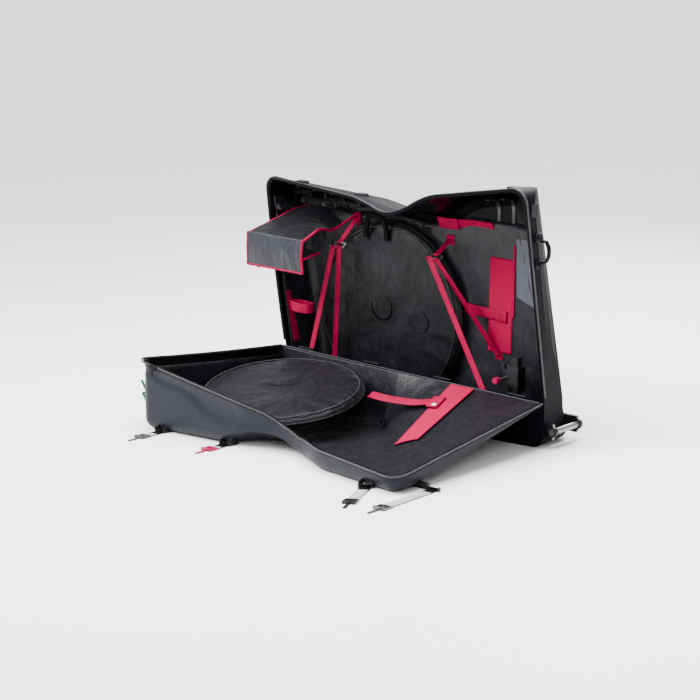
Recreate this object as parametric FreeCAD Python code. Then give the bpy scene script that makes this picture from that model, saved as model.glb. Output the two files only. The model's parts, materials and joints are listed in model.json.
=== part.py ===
import FreeCAD, Part
import math
import os

V = FreeCAD.Vector
os.makedirs("parts", exist_ok=True)

# Frame of the case: X along the hinge, Y to the back, Z square to both.
# The hinge rises to the left by hinge_tilt, so every case-frame solid is turned by it when saved.
hinge_length = 1190.0
hinge_height = 192.0
hinge_tilt = 2.55
base_depth = 190.0
left_rise = 613.0
crest_left_rise = 593.0
waist_rise = 553.0
crest_right_rise = 646.0
right_rise = 716.0
crest_left_x = -225.0
waist_x = 0.0
crest_right_x = 160.0
left_lean = 133.0
right_lean = 26.0
left_draft = 28.0
right_draft = 20.0
end_start = 45.0
end_cut_low = 60.0
end_cut_rise = 0.26
end_bow = 46.0
end_shares = (-0.2, 0.0, 0.12, 0.28, 0.78, 0.92, 1.0, 1.2)
top_draft = 32.0
foot_draft = 10.0
edge_round = 42.0
corner_foot = 55.0
corner_left = 45.0
corner_right = 55.0
crest_left_round = 300.0
waist_round = 260.0
crest_right_round = 300.0

# Shells, bands, zips and liners
wall = 4.0
liner = 3.0
liner_top_rise = 538.0
liner_edge_base = 26.0
liner_edge_lid = 34.0
band_proud = 3.0
band_inside = 4.0
band_width = 12.0
shell_to_parting = 4.0
band_to_parting = 1.0
zip_proud = 2.5
zip_width = 6.0
floor_trim = 0.2
clear = 0.3
running = 0.05

# Twist of the parting: how far it runs to the back per unit of height, at places along the hinge
twist_left_end = 0.059
twist_left = -0.068
twist_crest = -0.103
twist_waist_left = -0.165
twist_waist = -0.192
twist_shoulder = -0.163
twist_right = -0.143

# Lid form: slope beside the hinge, and the valley across the waist
slope_drop = 14.0
knee_left = 45.0
knee_start_x = -60.0
knee_right = 716.0
valley_x = -120.0
valley_radius = 290.0
valley_depth = 56.0
valley_pitch = 26.0

# Hinge
hinge_sets = 4
hinge_gap = 9.0
knuckle_radius = 5.0
knuckle_length = 24.0
pin_radius = 2.5
leaf_thick = 2.0
leaf_reach = 30.0
hinge_end_margin = 110.0

# Soft goods
bag_radius = 336.0
bag_thick = 58.0
bag_x = -210.0
bag_edge = 26.0
bag_lift = 10.0
lid_bag_edge = 20.0
lid_bag_half_x = 318.0
lid_bag_half_h = 280.0
lid_bag_thick = 62.0
lid_bag_x = -322.0
lid_bag_h = 302.0
lid_bag_lean = 10.0
lid_bag_rise = 107.8
handle_width = 110.0
handle_height = 78.0
handle_web = 26.0
strap_width = 38.0
strap_thick = 2.4
panel_thick = 1.8
panel_width = 104.0
panel_left = 218.0
panel_low = 270.0
panel_high = 605.0
lid_panel_near = 16.0
lid_panel_far = 322.0
pad_lift = 6.6
pouch_left = -660.0
pouch_right = -378.0
pouch_front = -230.0
pouch_top_front = 628.0
pouch_below_liner = 28.0
pouch_drop = 128.0
pouch_shelf_share = 0.36
pouch_shelf_end = -62.0
pouch_thick = 11.0
pocket_thick = 6.0
upper_thick = 6.0
upper_pad_left = -8.0
upper_pad_right = 84.0
upper_pad_high = 51.0
upper_tail_right = 232.0
upper_tail_high = 28.0
upper_below_liner = 3.0
cross_left = 112.0
cross_right = 297.0
cross_low = 386.0
pocket_low = 235.0
pocket_high = 655.0
pocket_zip_height = 402.0
pocket_near = -12.0
pocket_deep = 66.0
slider_y = 30.0

# Straps that hold the load, from anchors to the two rings and on to the back
ring_left = V(-398.0, -20.0, 580.0)
ring_right = V(40.0, 0.0, 592.0)
ring_half_x = 34.0
ring_reach = 13.0
ring_wire = 2.2
ring_front_shift = 15.6
sleeve_radius = 5.2
load_width = 24.0
load_pad = 10.0
hanger_left_top = 668.0
hanger_right_top = 640.0
anchor_front_left_x = -478.0
anchor_front_right_x = 338.0
anchor_front_height = 164.0
anchor_rear_left_x = -441.0
anchor_rear_left_y = 2.0
anchor_rear_right_x = 268.0
anchor_rear_right_height = 258.0

# Dropout stand
stand_x = 408.0
stand_y = 2.0
foot_length = 96.0
foot_width = 80.0
foot_thick = 8.0
post_size = 26.0
post_top = 293.0
bracket_thick = 8.0
bracket_low = 172.0
bracket_high = 262.0
bracket_width = 44.0
slot_width = 12.0
stand_axle_height = 214.0
stand_axle_radius = 4.0
stand_axle_half = 62.0
knob_radius = 11.0
knob_length = 18.0

# Clip bar, wheels, handle and catches outside the base
bar_radius = 11.0
bar_standoff = 20.0
bar_height = 85.0
bar_half = 78.0
plate_thick = 5.0
plate_size = 56.0
screw_head = 5.0
screw_spread = 22.0
wheel_radius = 42.0
wheel_width = 24.0
hub_radius = 27.0
wheel_axle_radius = 4.0
wheel_spread = 52.0
wheel_gap = 12.0
cheek_thick = 5.0
cheek_gap = 2.0
handle_y = -128.0
handle_patch_half = 16.0
right_catch_back = 24.0
lug_reach = 120.0
handle_low = 655.0
handle_high = 742.0
handle_bulge = 28.0
handle_pin = 3.0
handle_standoff = 13.5
catch_length = 34.0
catch_thick = 4.5

# Closing straps on the lid, lying on the floor
pin_rise = 6.8
strap_pin = 2.0
strap_eye = 4.4
webbing = 2.2
closure_width = 38.0
hook_length = 40.0
hook_thick = 6.4
hook_pocket = 10.0
tail_length = 46.0
tail_width = 11.0
cheek = 4.0

tilt = math.radians(hinge_tilt)
hinge_y = -base_depth / 2
back_y = base_depth / 2
hinge_half = hinge_length / 2
far = 1500.0


def floor_z(x):
    return x * math.tan(tilt)


def save(name, shape, tilted=True):
    """Write one node, turned from the case frame to the floor frame."""
    out = shape.copy()
    if tilted:
        out.rotate(V(0, 0, 0), V(0, 1, 0), hinge_tilt)
    out.exportStep("parts/" + name + ".step")
    state = "" if out.isValid() else "  NOT VALID"
    print(name, len(out.Solids), "solids", round(out.Volume / 1000.0, 2), "cm3" + state)


def opened(shape):
    """Swing a solid of the closed lid to where it lies with the case open."""
    out = shape.copy()
    out.rotate(V(0, hinge_y, hinge_height), V(1, 0, 0), 90)
    return out


def box(x0, x1, y0, y1, z0, z1):
    return Part.makeBox(x1 - x0, y1 - y0, z1 - z0, V(x0, y0, z0))


def rod(start, end, radius):
    return Part.makeCylinder(radius, start.distanceToPoint(end), start, end - start)


def oriented(shape, origin, along, across):
    """Place a solid made along X with its width along Y."""
    first = V(along).normalize()
    third = first.cross(across).normalize()
    second = third.cross(first)
    out = shape.copy()
    turn = FreeCAD.Rotation(first, second, third, "XYZ")
    out.Placement = FreeCAD.Placement(origin, turn)
    return out


def band(start, end, across, width, thick):
    """A flat strap from start to end, its middle on the line between them."""
    length = start.distanceToPoint(end)
    flat = box(0, length, -width / 2, width / 2, -thick / 2, thick / 2)
    return oriented(flat, start, end - start, across)


def arc_corner(corner, before, after, y):
    """Start, middle and end of the arc that rounds one corner."""
    here = V(corner[0], y, corner[1])
    back = (V(before[0], y, before[1]) - here).normalize()
    ahead = (V(after[0], y, after[1]) - here).normalize()
    half = back.getAngle(ahead) / 2
    reach = corner[2] / math.tan(half)
    middle = (back + ahead).normalize()
    centre = here + middle * (corner[2] / math.sin(half))
    return here + back * reach, centre - middle * corner[2], here + ahead * reach


def rounded_wire(corners, y):
    """Closed wire at depth y through corners given as x, z and radius."""
    count = len(corners)
    arcs = []
    for i in range(count):
        arcs.append(arc_corner(corners[i], corners[i - 1], corners[(i + 1) % count], y))
    edges = []
    for i in range(count):
        edges.append(Part.Arc(*arcs[i]).toShape())
        edges.append(Part.LineSegment(arcs[i][2], arcs[(i + 1) % count][0]).toShape())
    return Part.Wire(edges)


def inset_corners(corners, inset):
    """Move every side of the outline inwards by inset, and its radii with it."""
    count = len(corners)
    moved = []
    for i in range(count):
        px, pz = corners[i - 1][0], corners[i - 1][1]
        cx, cz, radius = corners[i]
        nx, nz = corners[(i + 1) % count][0], corners[(i + 1) % count][1]
        d1 = V(cx - px, 0, cz - pz).normalize()
        d2 = V(nx - cx, 0, nz - cz).normalize()
        turn = d1.x * d2.z - d1.z * d2.x
        dot = d1.x * d2.x + d1.z * d2.z
        shift = inset / (1 + dot)
        x = cx + (-d1.z - d2.z) * shift
        z = cz + (d1.x + d2.x) * shift
        moved.append((x, z, max(2.0, radius - math.copysign(inset, turn))))
    return moved


def upper_corners(depth_share):
    """Corners above the hinge, from the right end over the top to the left end."""
    s = depth_share
    drop = top_draft * s
    return [
        (hinge_half - right_lean - right_draft * s, hinge_height + right_rise - drop, corner_right),
        (crest_right_x - foot_draft * s, hinge_height + crest_right_rise - drop, crest_right_round),
        (waist_x, hinge_height + waist_rise - drop, waist_round),
        (crest_left_x, hinge_height + crest_left_rise - drop, crest_left_round),
        (-hinge_half - left_lean + left_draft * s, hinge_height + left_rise - drop, corner_left),
    ]


def base_corners(y):
    """Outline of the base at depth y: plain up to the hinge plane, drafted behind it."""
    s = max(0.0, y - hinge_y) / base_depth
    lean_l = left_lean / left_rise
    lean_r = right_lean / right_rise
    foot_l = (-hinge_half + lean_l * hinge_height) / (1 + lean_l * math.tan(tilt)) + foot_draft * s
    foot_r = (hinge_half + lean_r * hinge_height) / (1 + lean_r * math.tan(tilt)) - foot_draft * s
    feet = [(foot_l, floor_z(foot_l), corner_foot), (foot_r, floor_z(foot_r), corner_foot)]
    return feet + upper_corners(s)


def end_points(z, inset):
    """The slanted, bowed right end of the base at height z, from beside the rim to the back wall."""
    end_x = hinge_half - right_lean * (z - hinge_height) / right_rise
    start = V(end_x, hinge_y + twist_right * max(0.0, z - hinge_height) + end_start, z)
    finish = V(end_x - end_cut_low - end_cut_rise * z, back_y, z)
    along = finish - start
    out = V(along.y, -along.x, 0).normalize()
    points = []
    for t in end_shares:
        points.append(start + along * t + out * (end_bow * 4 * max(0.0, t * (1 - t)) - inset))
    return points


def end_cut(inset):
    """Everything outside the slanted right end."""
    wires = []
    for z in (-far / 4, hinge_height, far):
        loop = end_points(z, inset)
        loop += [loop[-1] + V(far, 0, 0), loop[0] + V(far, 0, 0)]
        wires.append(Part.makePolygon(loop + [loop[0]]))
    return Part.makeLoft(wires, True, True)


def base_block(inset, sink=0.0):
    """Filled base, every face moved inwards by inset, open ended towards the lid, its feet lowered by sink."""
    back = back_y - inset
    radius = edge_round - inset
    soft = radius * (1 - math.cos(math.pi / 4))
    stations = [(hinge_y - 150, 0.0), (hinge_y, 0.0), (back - radius, 0.0), (back - soft, soft), (back, radius)]
    wires = []
    for y, extra in stations:
        corners = base_corners(y)
        feet = [(x, z - sink, radius_here) for x, z, radius_here in corners[:2]]
        wires.append(rounded_wire(inset_corners(feet + corners[2:], inset + extra), y))
    return Part.makeLoft(wires, True, True).cut(end_cut(inset))


def lid_front(x):
    """Depth at which the closed lid's face lies: the floor, once the lid is open."""
    return hinge_y - hinge_height + floor_z(x)


def lid_filled(inset):
    """Filled closed lid, every face moved inwards by inset and open ended towards the base."""
    root = [(-hinge_half, hinge_height + hinge_gap, 5.0), (hinge_half, hinge_height + hinge_gap, 5.0)]
    corners = root + upper_corners(0.0)
    front = lid_front(0) + inset
    radius = edge_round - inset
    soft = radius * (1 - math.cos(math.pi / 4))
    wires = [rounded_wire(inset_corners(corners, inset), hinge_y + 60)]
    for y, extra in [(front + radius, 0.0), (front + soft, soft), (front, radius)]:
        wire = rounded_wire(inset_corners(corners, inset + extra), y)
        wire.rotate(V(0, y, 0), V(0, 0, 1), hinge_tilt)
        wires.append(wire)
    return Part.makeLoft(wires, True, True)


def section_loft(stations):
    """Loft of polygons in YZ, one at each x."""
    wires = []
    for x, points in stations:
        loop = [V(x, y, z) for y, z in points]
        wires.append(Part.makePolygon(loop + [loop[0]]))
    return Part.makeLoft(wires, True, True)


def knee(x):
    run = max(0.0, x - knee_start_x) / (hinge_half - knee_start_x)
    return knee_left + (knee_right - knee_left) * run


def slope_cut(inset):
    """Everything outside the slope that climbs from the hinge to the lid's face."""
    low = hinge_height + hinge_gap + inset
    stations = []
    for x in (-far / 2, knee_start_x, hinge_half + 100):
        face = lid_front(x) + inset
        start = hinge_y - slope_drop + inset
        points = [(start, -far / 4), (start, low), (face, hinge_height + knee(x) + inset)]
        points += [(face - 200, hinge_height + knee(x) + inset), (face - 200, -far / 4)]
        stations.append((x, points))
    return section_loft(stations)


def valley_cut(inset):
    """Shallow valley over the waist, deepest at the rim and gone by the middle."""
    radius = valley_radius + inset
    y = lid_front(valley_x) + valley_depth - valley_radius / math.cos(math.radians(valley_pitch))
    top = V(valley_x, y, hinge_height + waist_rise)
    cut = Part.makeCylinder(radius, 2 * far, top - V(0, 0, far), V(0, 0, 1))
    cut.rotate(top, V(1, 0, 0), -valley_pitch)
    return cut


def lid_block(inset):
    return lid_filled(inset).cut(slope_cut(inset)).cut(valley_cut(inset))


twists = [
    (-far / 2, twist_left_end),
    (crest_left_x, twist_left),
    (crest_left_x + 95, twist_crest),
    (waist_x - 40, twist_waist_left),
    (waist_x + 30, twist_waist),
    (waist_x + 130, twist_shoulder),
    (far / 2, twist_right),
]


def parting_side(offset, outer_y):
    """All space on one side of the parting surface, which is moved back by offset."""
    high = far
    stations = []
    for x, twist in twists:
        edge = hinge_y + offset
        points = [(outer_y, -far), (edge, -far), (edge, hinge_height)]
        points += [(edge + twist * (high - hinge_height), high), (outer_y, high)]
        stations.append((x, points))
    return section_loft(stations)


def ahead_of(offset):
    return parting_side(offset, -far)


def behind(offset):
    return parting_side(offset, far)


below_hinge = box(-far, far, -far, far, -far, hinge_height + 12)

# Base shell: drafted tub with a sill in front, closed behind, open to the lid
sill_top = hinge_height - hinge_gap
sill_front = hinge_y + shell_to_parting
below_floor = box(-far, far, -far, far, -far, 0)
below_floor.rotate(V(0, 0, 0), V(0, 1, 0), -hinge_tilt)
base_solid = base_block(0.0, floor_trim).cut(below_floor)
base_front = ahead_of(shell_to_parting)


def base_room(inset):
    """The space inside the base, held back from the sill by inset."""
    sill = box(-far, far, -far, sill_front + inset, -far, sill_top)
    return base_block(inset).cut(sill)


base_outer = base_solid.cut(base_front)
base_inner = base_room(wall)
base_shell = base_outer.cut(base_inner)
save("base_shell", base_shell)

# Lid shell, made closed and saved open
lid_outer = lid_block(0.0).cut(behind(-shell_to_parting))
lid_inner = lid_block(wall)
lid_shell = lid_outer.cut(lid_inner)
save("lid_shell", opened(lid_shell))


def zone(shape, near, reach, back_side):
    """Cut a ring down to a strip beside the parting, clear of the hinge."""
    if back_side:
        strip = shape.cut(ahead_of(near)).common(ahead_of(near + reach))
    else:
        strip = shape.cut(behind(-near)).common(behind(-near - reach))
    return strip.cut(below_hinge)


# Rim bands and zips
ring_base = base_block(-band_proud).cut(base_block(wall + band_inside))
save("base_rim_band", zone(ring_base, band_to_parting, band_width, True).cut(base_shell))
zip_ring_base = base_block(-band_proud - zip_proud).cut(base_block(-band_proud))
save("base_zip", zone(zip_ring_base, band_to_parting, zip_width, True))
ring_lid = lid_filled(-band_proud).cut(lid_filled(wall + band_inside))
save("lid_rim_band", opened(zone(ring_lid, band_to_parting, band_width, False).cut(lid_shell)))
zip_ring_lid = lid_filled(-band_proud - zip_proud).cut(lid_filled(-band_proud))
save("lid_zip", opened(zone(zip_ring_lid, band_to_parting, zip_width, False)))

# Liners: a thin cup in each half
base_lined = base_room(wall + clear + liner)
liner_above = box(-far, far, -far, far, hinge_height + liner_top_rise, far)
base_cup = base_room(wall + clear).cut(base_lined).cut(ahead_of(liner_edge_base)).cut(liner_above)
save("base_liner", base_cup)
lid_lined = lid_block(wall + clear + liner)
lid_cup = lid_block(wall + clear).cut(lid_lined).cut(behind(-liner_edge_lid))
save("lid_liner", opened(lid_cup))

# Hinge: sets of three knuckles on a pin, the outer two on the base and the middle one on the lid
base_leaves = []
lid_leaves = []
pins = []
first_x = -hinge_half + hinge_end_margin
pitch = (hinge_length - 2 * hinge_end_margin) / (hinge_sets - 1)
axis_point = V(0, hinge_y, hinge_height)
for i in range(hinge_sets):
    middle = first_x + pitch * i
    pin_end = 1.5 * knuckle_length + 3
    pins.append(rod(axis_point + V(middle - pin_end, 0, 0), axis_point + V(middle + pin_end, 0, 0), pin_radius))
    for side in (-1, 0, 1):
        x0 = middle + (side - 0.5) * knuckle_length + clear
        x1 = x0 + knuckle_length - 2 * clear
        knuckle = rod(axis_point + V(x0, 0, 0), axis_point + V(x1, 0, 0), knuckle_radius)
        start = axis_point + V(x0 - 1, 0, 0)
        bore = rod(start, axis_point + V(x1 + 1, 0, 0), pin_radius + running)
        if side == 0:
            web = box(x0, x1, hinge_y - 4, hinge_y - 2, hinge_height, hinge_height + hinge_gap)
            flat_y = hinge_y - slope_drop
            flat = box(x0, x1, flat_y, hinge_y - 2, hinge_height + hinge_gap - leaf_thick, hinge_height + hinge_gap)
            lid_leaves.append(knuckle.fuse([web, flat]).cut(bore).removeSplitter())
        else:
            plate = box(x0, x1, sill_front - leaf_thick, sill_front, sill_top - leaf_reach, hinge_height)
            base_leaves.append(knuckle.fuse(plate).cut(bore).removeSplitter())
save("base_hinge_leaves", Part.makeCompound(base_leaves))
save("lid_hinge_leaves", opened(Part.makeCompound(lid_leaves)))
save("hinge_pins", Part.makeCompound(pins))


def disc(radius_x, radius_z, thick, edge):
    """Soft flat bag lying across Y: an oval with rounded edges, its middle at the origin."""
    wires = []
    for y, pull in ((-thick / 2, edge), (edge - thick / 2, 0.0), (thick / 2 - edge, 0.0), (thick / 2, edge)):
        oval = Part.Ellipse(V(0, y, 0), max(radius_x, radius_z + 0.01) - pull, radius_z - pull)
        oval.Axis = V(0, 1, 0)
        oval.XAxis = V(1, 0, 0)
        wires.append(Part.Wire([oval.toShape()]))
    return Part.makeLoft(wires, True, True)


# Standing wheel bag against the back of the base, with its carrying handle
inside_back = back_y - wall - 2 * clear - liner
bag_floor = floor_z(bag_x) / math.cos(tilt) + (wall + 2 * clear + liner) / math.cos(tilt)
bag_z = bag_floor + bag_radius / math.cos(tilt) + bag_lift
bag_y = inside_back - bag_thick / 2
base_bag = disc(bag_radius, bag_radius - 0.02, bag_thick, bag_edge)
base_bag.translate(V(bag_x, bag_y, bag_z))
save("base_wheel_bag", base_bag)
handle_z = bag_z + bag_radius - handle_height / 2 - 6
bag_front = bag_y - bag_thick / 2 - clear
handle_x = bag_x - handle_width / 2
loop = box(handle_x, handle_x + handle_width, bag_front - strap_thick, bag_front, handle_z - handle_height / 2,
           handle_z + handle_height)
gap_low = handle_z - handle_height / 2
hollow = box(handle_x + handle_web, handle_x + handle_width - handle_web, bag_front - 9, bag_front + 1,
             gap_low + handle_web, handle_z + handle_height - handle_web)
save("base_bag_handle", loop.cut(hollow))

# Lid wheel bag, leaning on the floor of the lid with its hinge side up
lid_bag = disc(lid_bag_half_x, lid_bag_half_h, lid_bag_thick, lid_bag_edge)
lid_bag.rotate(V(0, 0, 0), V(1, 0, 0), 90 + lid_bag_lean)
lid_bag.translate(V(lid_bag_x, hinge_y - lid_bag_h, lid_bag_rise))
save("lid_wheel_bag", lid_bag)

# Red hook panels: a skin on the liner of each half
skin_gap = wall + 2 * clear + liner
lid_skin = lid_block(skin_gap).cut(lid_block(skin_gap + panel_thick))
lid_window = box(panel_left, panel_left + panel_width, -far, hinge_y - 22, hinge_height + lid_panel_near,
                 hinge_height + lid_panel_far)
save("lid_hook_panel", opened(lid_skin.common(lid_window)))
panel_face = inside_back - panel_thick
save("back_hook_panel", box(panel_left, panel_left + panel_width, panel_face, inside_back, panel_low, panel_high))


def lid_floor(x, h):
    """Height of the lid's panel over the case frame, at distance h from the hinge."""
    start = hinge_height - slope_drop + skin_gap
    low = hinge_gap + skin_gap
    share = (h - low) / (knee(x) - hinge_gap)
    fall = hinge_height - slope_drop - floor_z(x)
    return start - fall * share


# Strap from the lid's wheel bag to the panel, with a stiff pad at its end
strap_h = 122.0
pad_x = panel_left + 40
pad_fall = (lid_floor(pad_x, strap_h - 10) - lid_floor(pad_x, strap_h + 10)) / 20
pad_across = V(0, 1, pad_fall)
pad_z = lid_floor(pad_x, strap_h) + panel_thick + pad_lift
strap_start = V(-56.0, hinge_y - strap_h - 10, 122.0)
strap_end = V(pad_x, hinge_y - strap_h, pad_z)
pull = (strap_end - strap_start).normalize()
lid_strap = band(strap_start, strap_end, pad_across, strap_width, strap_thick)
pad = band(strap_end - pull * 46, strap_end, pad_across, strap_width + 24, 9.0)
save("lid_wheel_strap", lid_strap.fuse(pad).removeSplitter())

# Panel strap and upper strap on the back of the base
strap_y = panel_face - clear
cross = box(cross_left, cross_right, strap_y - strap_thick, strap_y, cross_low, cross_low + strap_width)
save("panel_strap", cross)
upper_top = hinge_height + liner_top_rise - upper_below_liner
upper_pad = box(upper_pad_left, upper_pad_right, hinge_y, back_y, upper_top - upper_pad_high, upper_top)
tail_top = upper_top - 5.0
upper_tail = box(upper_pad_right, upper_tail_right, hinge_y, back_y, tail_top - upper_tail_high, tail_top)
upper_skin = base_block(skin_gap).cut(base_block(skin_gap + upper_thick))
save("seatpost_strap", upper_skin.common(upper_pad.fuse(upper_tail)))

# Four load straps on two rectangular rings, and the hangers that tie the rings to the back
def ring_frame(ring, top):
    """Direction from a ring to its place on the back wall, and that place."""
    wall_point = V(ring.x, inside_back - load_pad / 2, top)
    return (wall_point - ring).normalize(), wall_point


def ring_loop(ring, along):
    outer = box(-ring_reach, ring_reach, -ring_half_x, ring_half_x, -ring_wire, ring_wire)
    inner_x = ring_half_x - 2 * ring_wire
    inner_reach = ring_reach - 2 * ring_wire
    hole = box(-inner_reach, inner_reach, -inner_x, inner_x, -20, 20)
    return oriented(outer.cut(hole), ring, along, V(1, 0, 0))


def ring_sleeve(bar_point, x, width):
    """Webbing turned round one bar of a ring."""
    return rod(bar_point + V(x - width / 2, 0, 0), bar_point + V(x + width / 2, 0, 0), sleeve_radius)


sill_inside = sill_front + wall + clear
pads = {
    "front_left": box(-15, 15, 0, load_pad, -12, 12),
    "rear_left": box(-15, 15, -12, 12, 0, load_pad),
    "front_right": box(-15, 15, 0, load_pad, -12, 12),
    "rear_right": box(-15, 15, -load_pad, 0, -12, 12),
}
floor_inside = (wall + 2 * clear + liner) / math.cos(tilt)
feet = {
    "front_left": V(anchor_front_left_x, sill_inside, anchor_front_height),
    "rear_left": V(anchor_rear_left_x, anchor_rear_left_y, floor_z(anchor_rear_left_x) + floor_inside),
    "front_right": V(anchor_front_right_x, sill_inside, anchor_front_height),
    "rear_right": V(anchor_rear_right_x, inside_back, anchor_rear_right_height),
}
hangers = []
rings = []
for side, ring, top in (("left", ring_left, hanger_left_top), ("right", ring_right, hanger_right_top)):
    along, wall_point = ring_frame(ring, top)
    loop_solid = ring_loop(ring, along)
    rings.append(loop_solid)
    upper_bar = ring + along * (ring_reach - ring_wire)
    lower_bar = ring - along * (ring_reach - ring_wire)
    hang = band(upper_bar, wall_point, V(1, 0, 0), load_width, strap_thick)
    patch = box(ring.x - 20, ring.x + 20, inside_back - load_pad, inside_back, top - 14, top + 14)
    sleeve = ring_sleeve(upper_bar, 0, load_width)
    hangers.append(hang.fuse([patch, sleeve]).cut(loop_solid).removeSplitter())
    for place, shift in (("front_" + side, -ring_front_shift), ("rear_" + side, ring_front_shift)):
        foot_point = feet[place]
        pad = pads[place].copy()
        if place == "rear_left":
            pad.rotate(V(0, 0, 0), V(0, 1, 0), -hinge_tilt)
        pad.translate(foot_point)
        middle = pad.BoundBox.Center
        sleeve = ring_sleeve(lower_bar, shift, load_width)
        run_band = band(lower_bar + V(shift, 0, 0), middle, V(1, 0, 0), load_width, strap_thick)
        strap = run_band.fuse([sleeve, pad]).cut(loop_solid).removeSplitter()
        save("frame_strap_" + place, strap)
save("strap_hangers", Part.makeCompound(hangers))
save("strap_hardware", Part.makeCompound(rings))

# Fork strap: a loop that stands off the left end wall
lean_left = left_lean / left_rise
fork_z = 330.0
fork_y = -42.0
fork_wall = -hinge_half - lean_left * (fork_z - hinge_height)
fork_loop = box(fork_wall - 30, fork_wall + 120, fork_y - 26, fork_y + 26, fork_z - 19, fork_z + 19)
fork_hole = box(fork_wall + 22, fork_wall + 117, fork_y - 23, fork_y + 23, fork_z - 40, fork_z + 40)
left_room = base_block(skin_gap)
fork_strip = left_room.cut(base_block(skin_gap + strap_thick))
fork_window = box(-far, fork_wall + 60, fork_y - 17, fork_y + 17, hinge_height, fork_z + 56)
fork_strap = fork_strip.common(fork_window).fuse(fork_loop.cut(fork_hole).common(left_room))
save("fork_strap", fork_strap.removeSplitter())

# Pocket on the right end wall, with a zip slider
pocket_window = box(panel_left, far, pocket_near, pocket_deep, pocket_low, pocket_high)
pocket_skin = base_block(skin_gap).cut(base_block(skin_gap + pocket_thick)).common(pocket_window)
save("end_pocket", pocket_skin)


def right_end(y, z):
    """Where the right end of the base lies at a depth and height."""
    points = end_points(z, 0.0)
    for near, deep in zip(points, points[1:]):
        if near.y <= y <= deep.y:
            return near.x + (deep.x - near.x) * (y - near.y) / (deep.y - near.y)


slope_y = (right_end(slider_y, pocket_zip_height) - right_end(slider_y - 16, pocket_zip_height)) / 16
zip_gap = (skin_gap + pocket_thick + 2 * clear) * 1.03
zip_face = right_end(slider_y, pocket_zip_height) - zip_gap * math.sqrt(1 + slope_y ** 2)
slider = box(-6, 6, -4, 4, 0, 4).fuse(box(-3, 3, -3, 3, 4, 6)).fuse(box(-3, 22, -3.5, 3.5, 5, 7))
pocket_slider = oriented(slider.removeSplitter(), V(zip_face, slider_y, pocket_zip_height), V(slope_y, 1, 0), V(0, 0, -1))
save("pocket_zip_slider", pocket_slider)

# Handlebar pouch: stiffened sleeve that hangs from the back and leans out over the front
pouch_top_back = hinge_height + liner_top_rise - pouch_below_liner
pouch_low = pouch_top_front - pouch_drop
pouch_shelf = pouch_low + pouch_drop * pouch_shelf_share
roof = Part.makePolygon([
    V(pouch_left, inside_back, pouch_top_back),
    V(pouch_left, pouch_front, pouch_top_front),
    V(pouch_left, pouch_front, pouch_low),
    V(pouch_left, pouch_front + pouch_thick, pouch_low),
    V(pouch_left, pouch_front + pouch_thick, pouch_shelf),
    V(pouch_left, pouch_shelf_end, pouch_shelf),
    V(pouch_left, pouch_shelf_end, pouch_shelf + pouch_thick),
    V(pouch_left, pouch_front + pouch_thick, pouch_shelf + pouch_thick),
    V(pouch_left, pouch_front + pouch_thick, pouch_top_front - pouch_thick),
    V(pouch_left, inside_back, pouch_top_back - pouch_thick),
    V(pouch_left, inside_back, pouch_top_back),
])
pouch = Part.Face(roof).extrude(V(pouch_right - pouch_left, 0, 0))
wall_zone = base_block(-band_proud).cut(base_block(skin_gap)).common(box(-far, far, 0, far, 0, far))
save("handlebar_pouch", pouch.cut(wall_zone))

# Dropout stand: foot, post, sliding bracket, and an axle with knobs
foot_z = floor_z(stand_x) + (wall + 2 * clear + liner) / math.cos(tilt) + clear
foot = oriented(
    box(-foot_length / 2, foot_length / 2, -foot_width / 2, foot_width / 2, 0, foot_thick),
    V(stand_x, stand_y, foot_z), V(math.cos(tilt), 0, math.sin(tilt)), V(0, 1, 0))
half_post = post_size / 2
post = box(stand_x - half_post, stand_x + half_post, stand_y - half_post, stand_y + half_post,
           floor_z(stand_x) + foot_thick, post_top).cut(
    oriented(box(-200, 200, -200, 200, -300, foot_thick), V(stand_x, stand_y, foot_z),
             V(math.cos(tilt), 0, math.sin(tilt)), V(0, 1, 0)))
save("dropout_foot", foot)
save("dropout_post", post)
sleeve_half = half_post + clear + bracket_thick
bracket = box(stand_x - sleeve_half, stand_x + sleeve_half, stand_y - sleeve_half, stand_y + sleeve_half,
              bracket_low, bracket_high)
bracket = bracket.cut(box(stand_x - half_post - clear, stand_x + half_post + clear, stand_y - half_post - clear,
                          stand_y + half_post + clear, bracket_low - 1, bracket_high + 1))
arm_x = stand_x - sleeve_half - bracket_width / 2
arm = box(stand_x - sleeve_half - bracket_width, stand_x - sleeve_half, stand_y - bracket_thick / 2,
          stand_y + bracket_thick / 2, bracket_low, bracket_high)
slot_z = bracket_high - 18
slot = box(arm_x - slot_width / 2, arm_x + slot_width / 2, stand_y - 20, stand_y + 20, slot_z, bracket_high + 1)
axle_hole = rod(V(arm_x, stand_y - 20, stand_axle_height), V(arm_x, stand_y + 20, stand_axle_height),
                stand_axle_radius + running)
save("dropout_bracket", bracket.fuse(arm).cut(slot).cut(axle_hole).removeSplitter())
axle = rod(V(arm_x, stand_y - stand_axle_half, stand_axle_height), V(arm_x, stand_y + stand_axle_half, stand_axle_height),
           stand_axle_radius)
save("dropout_axle", axle)
knobs = []
for side in (-1, 1):
    outer = V(arm_x, stand_y + side * (stand_axle_half + 3), stand_axle_height)
    inner = outer - V(0, side * knob_length, 0)
    knob = rod(inner, outer, knob_radius)
    knobs.append(knob.cut(axle))
save("dropout_knobs", Part.makeCompound(knobs))

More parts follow.
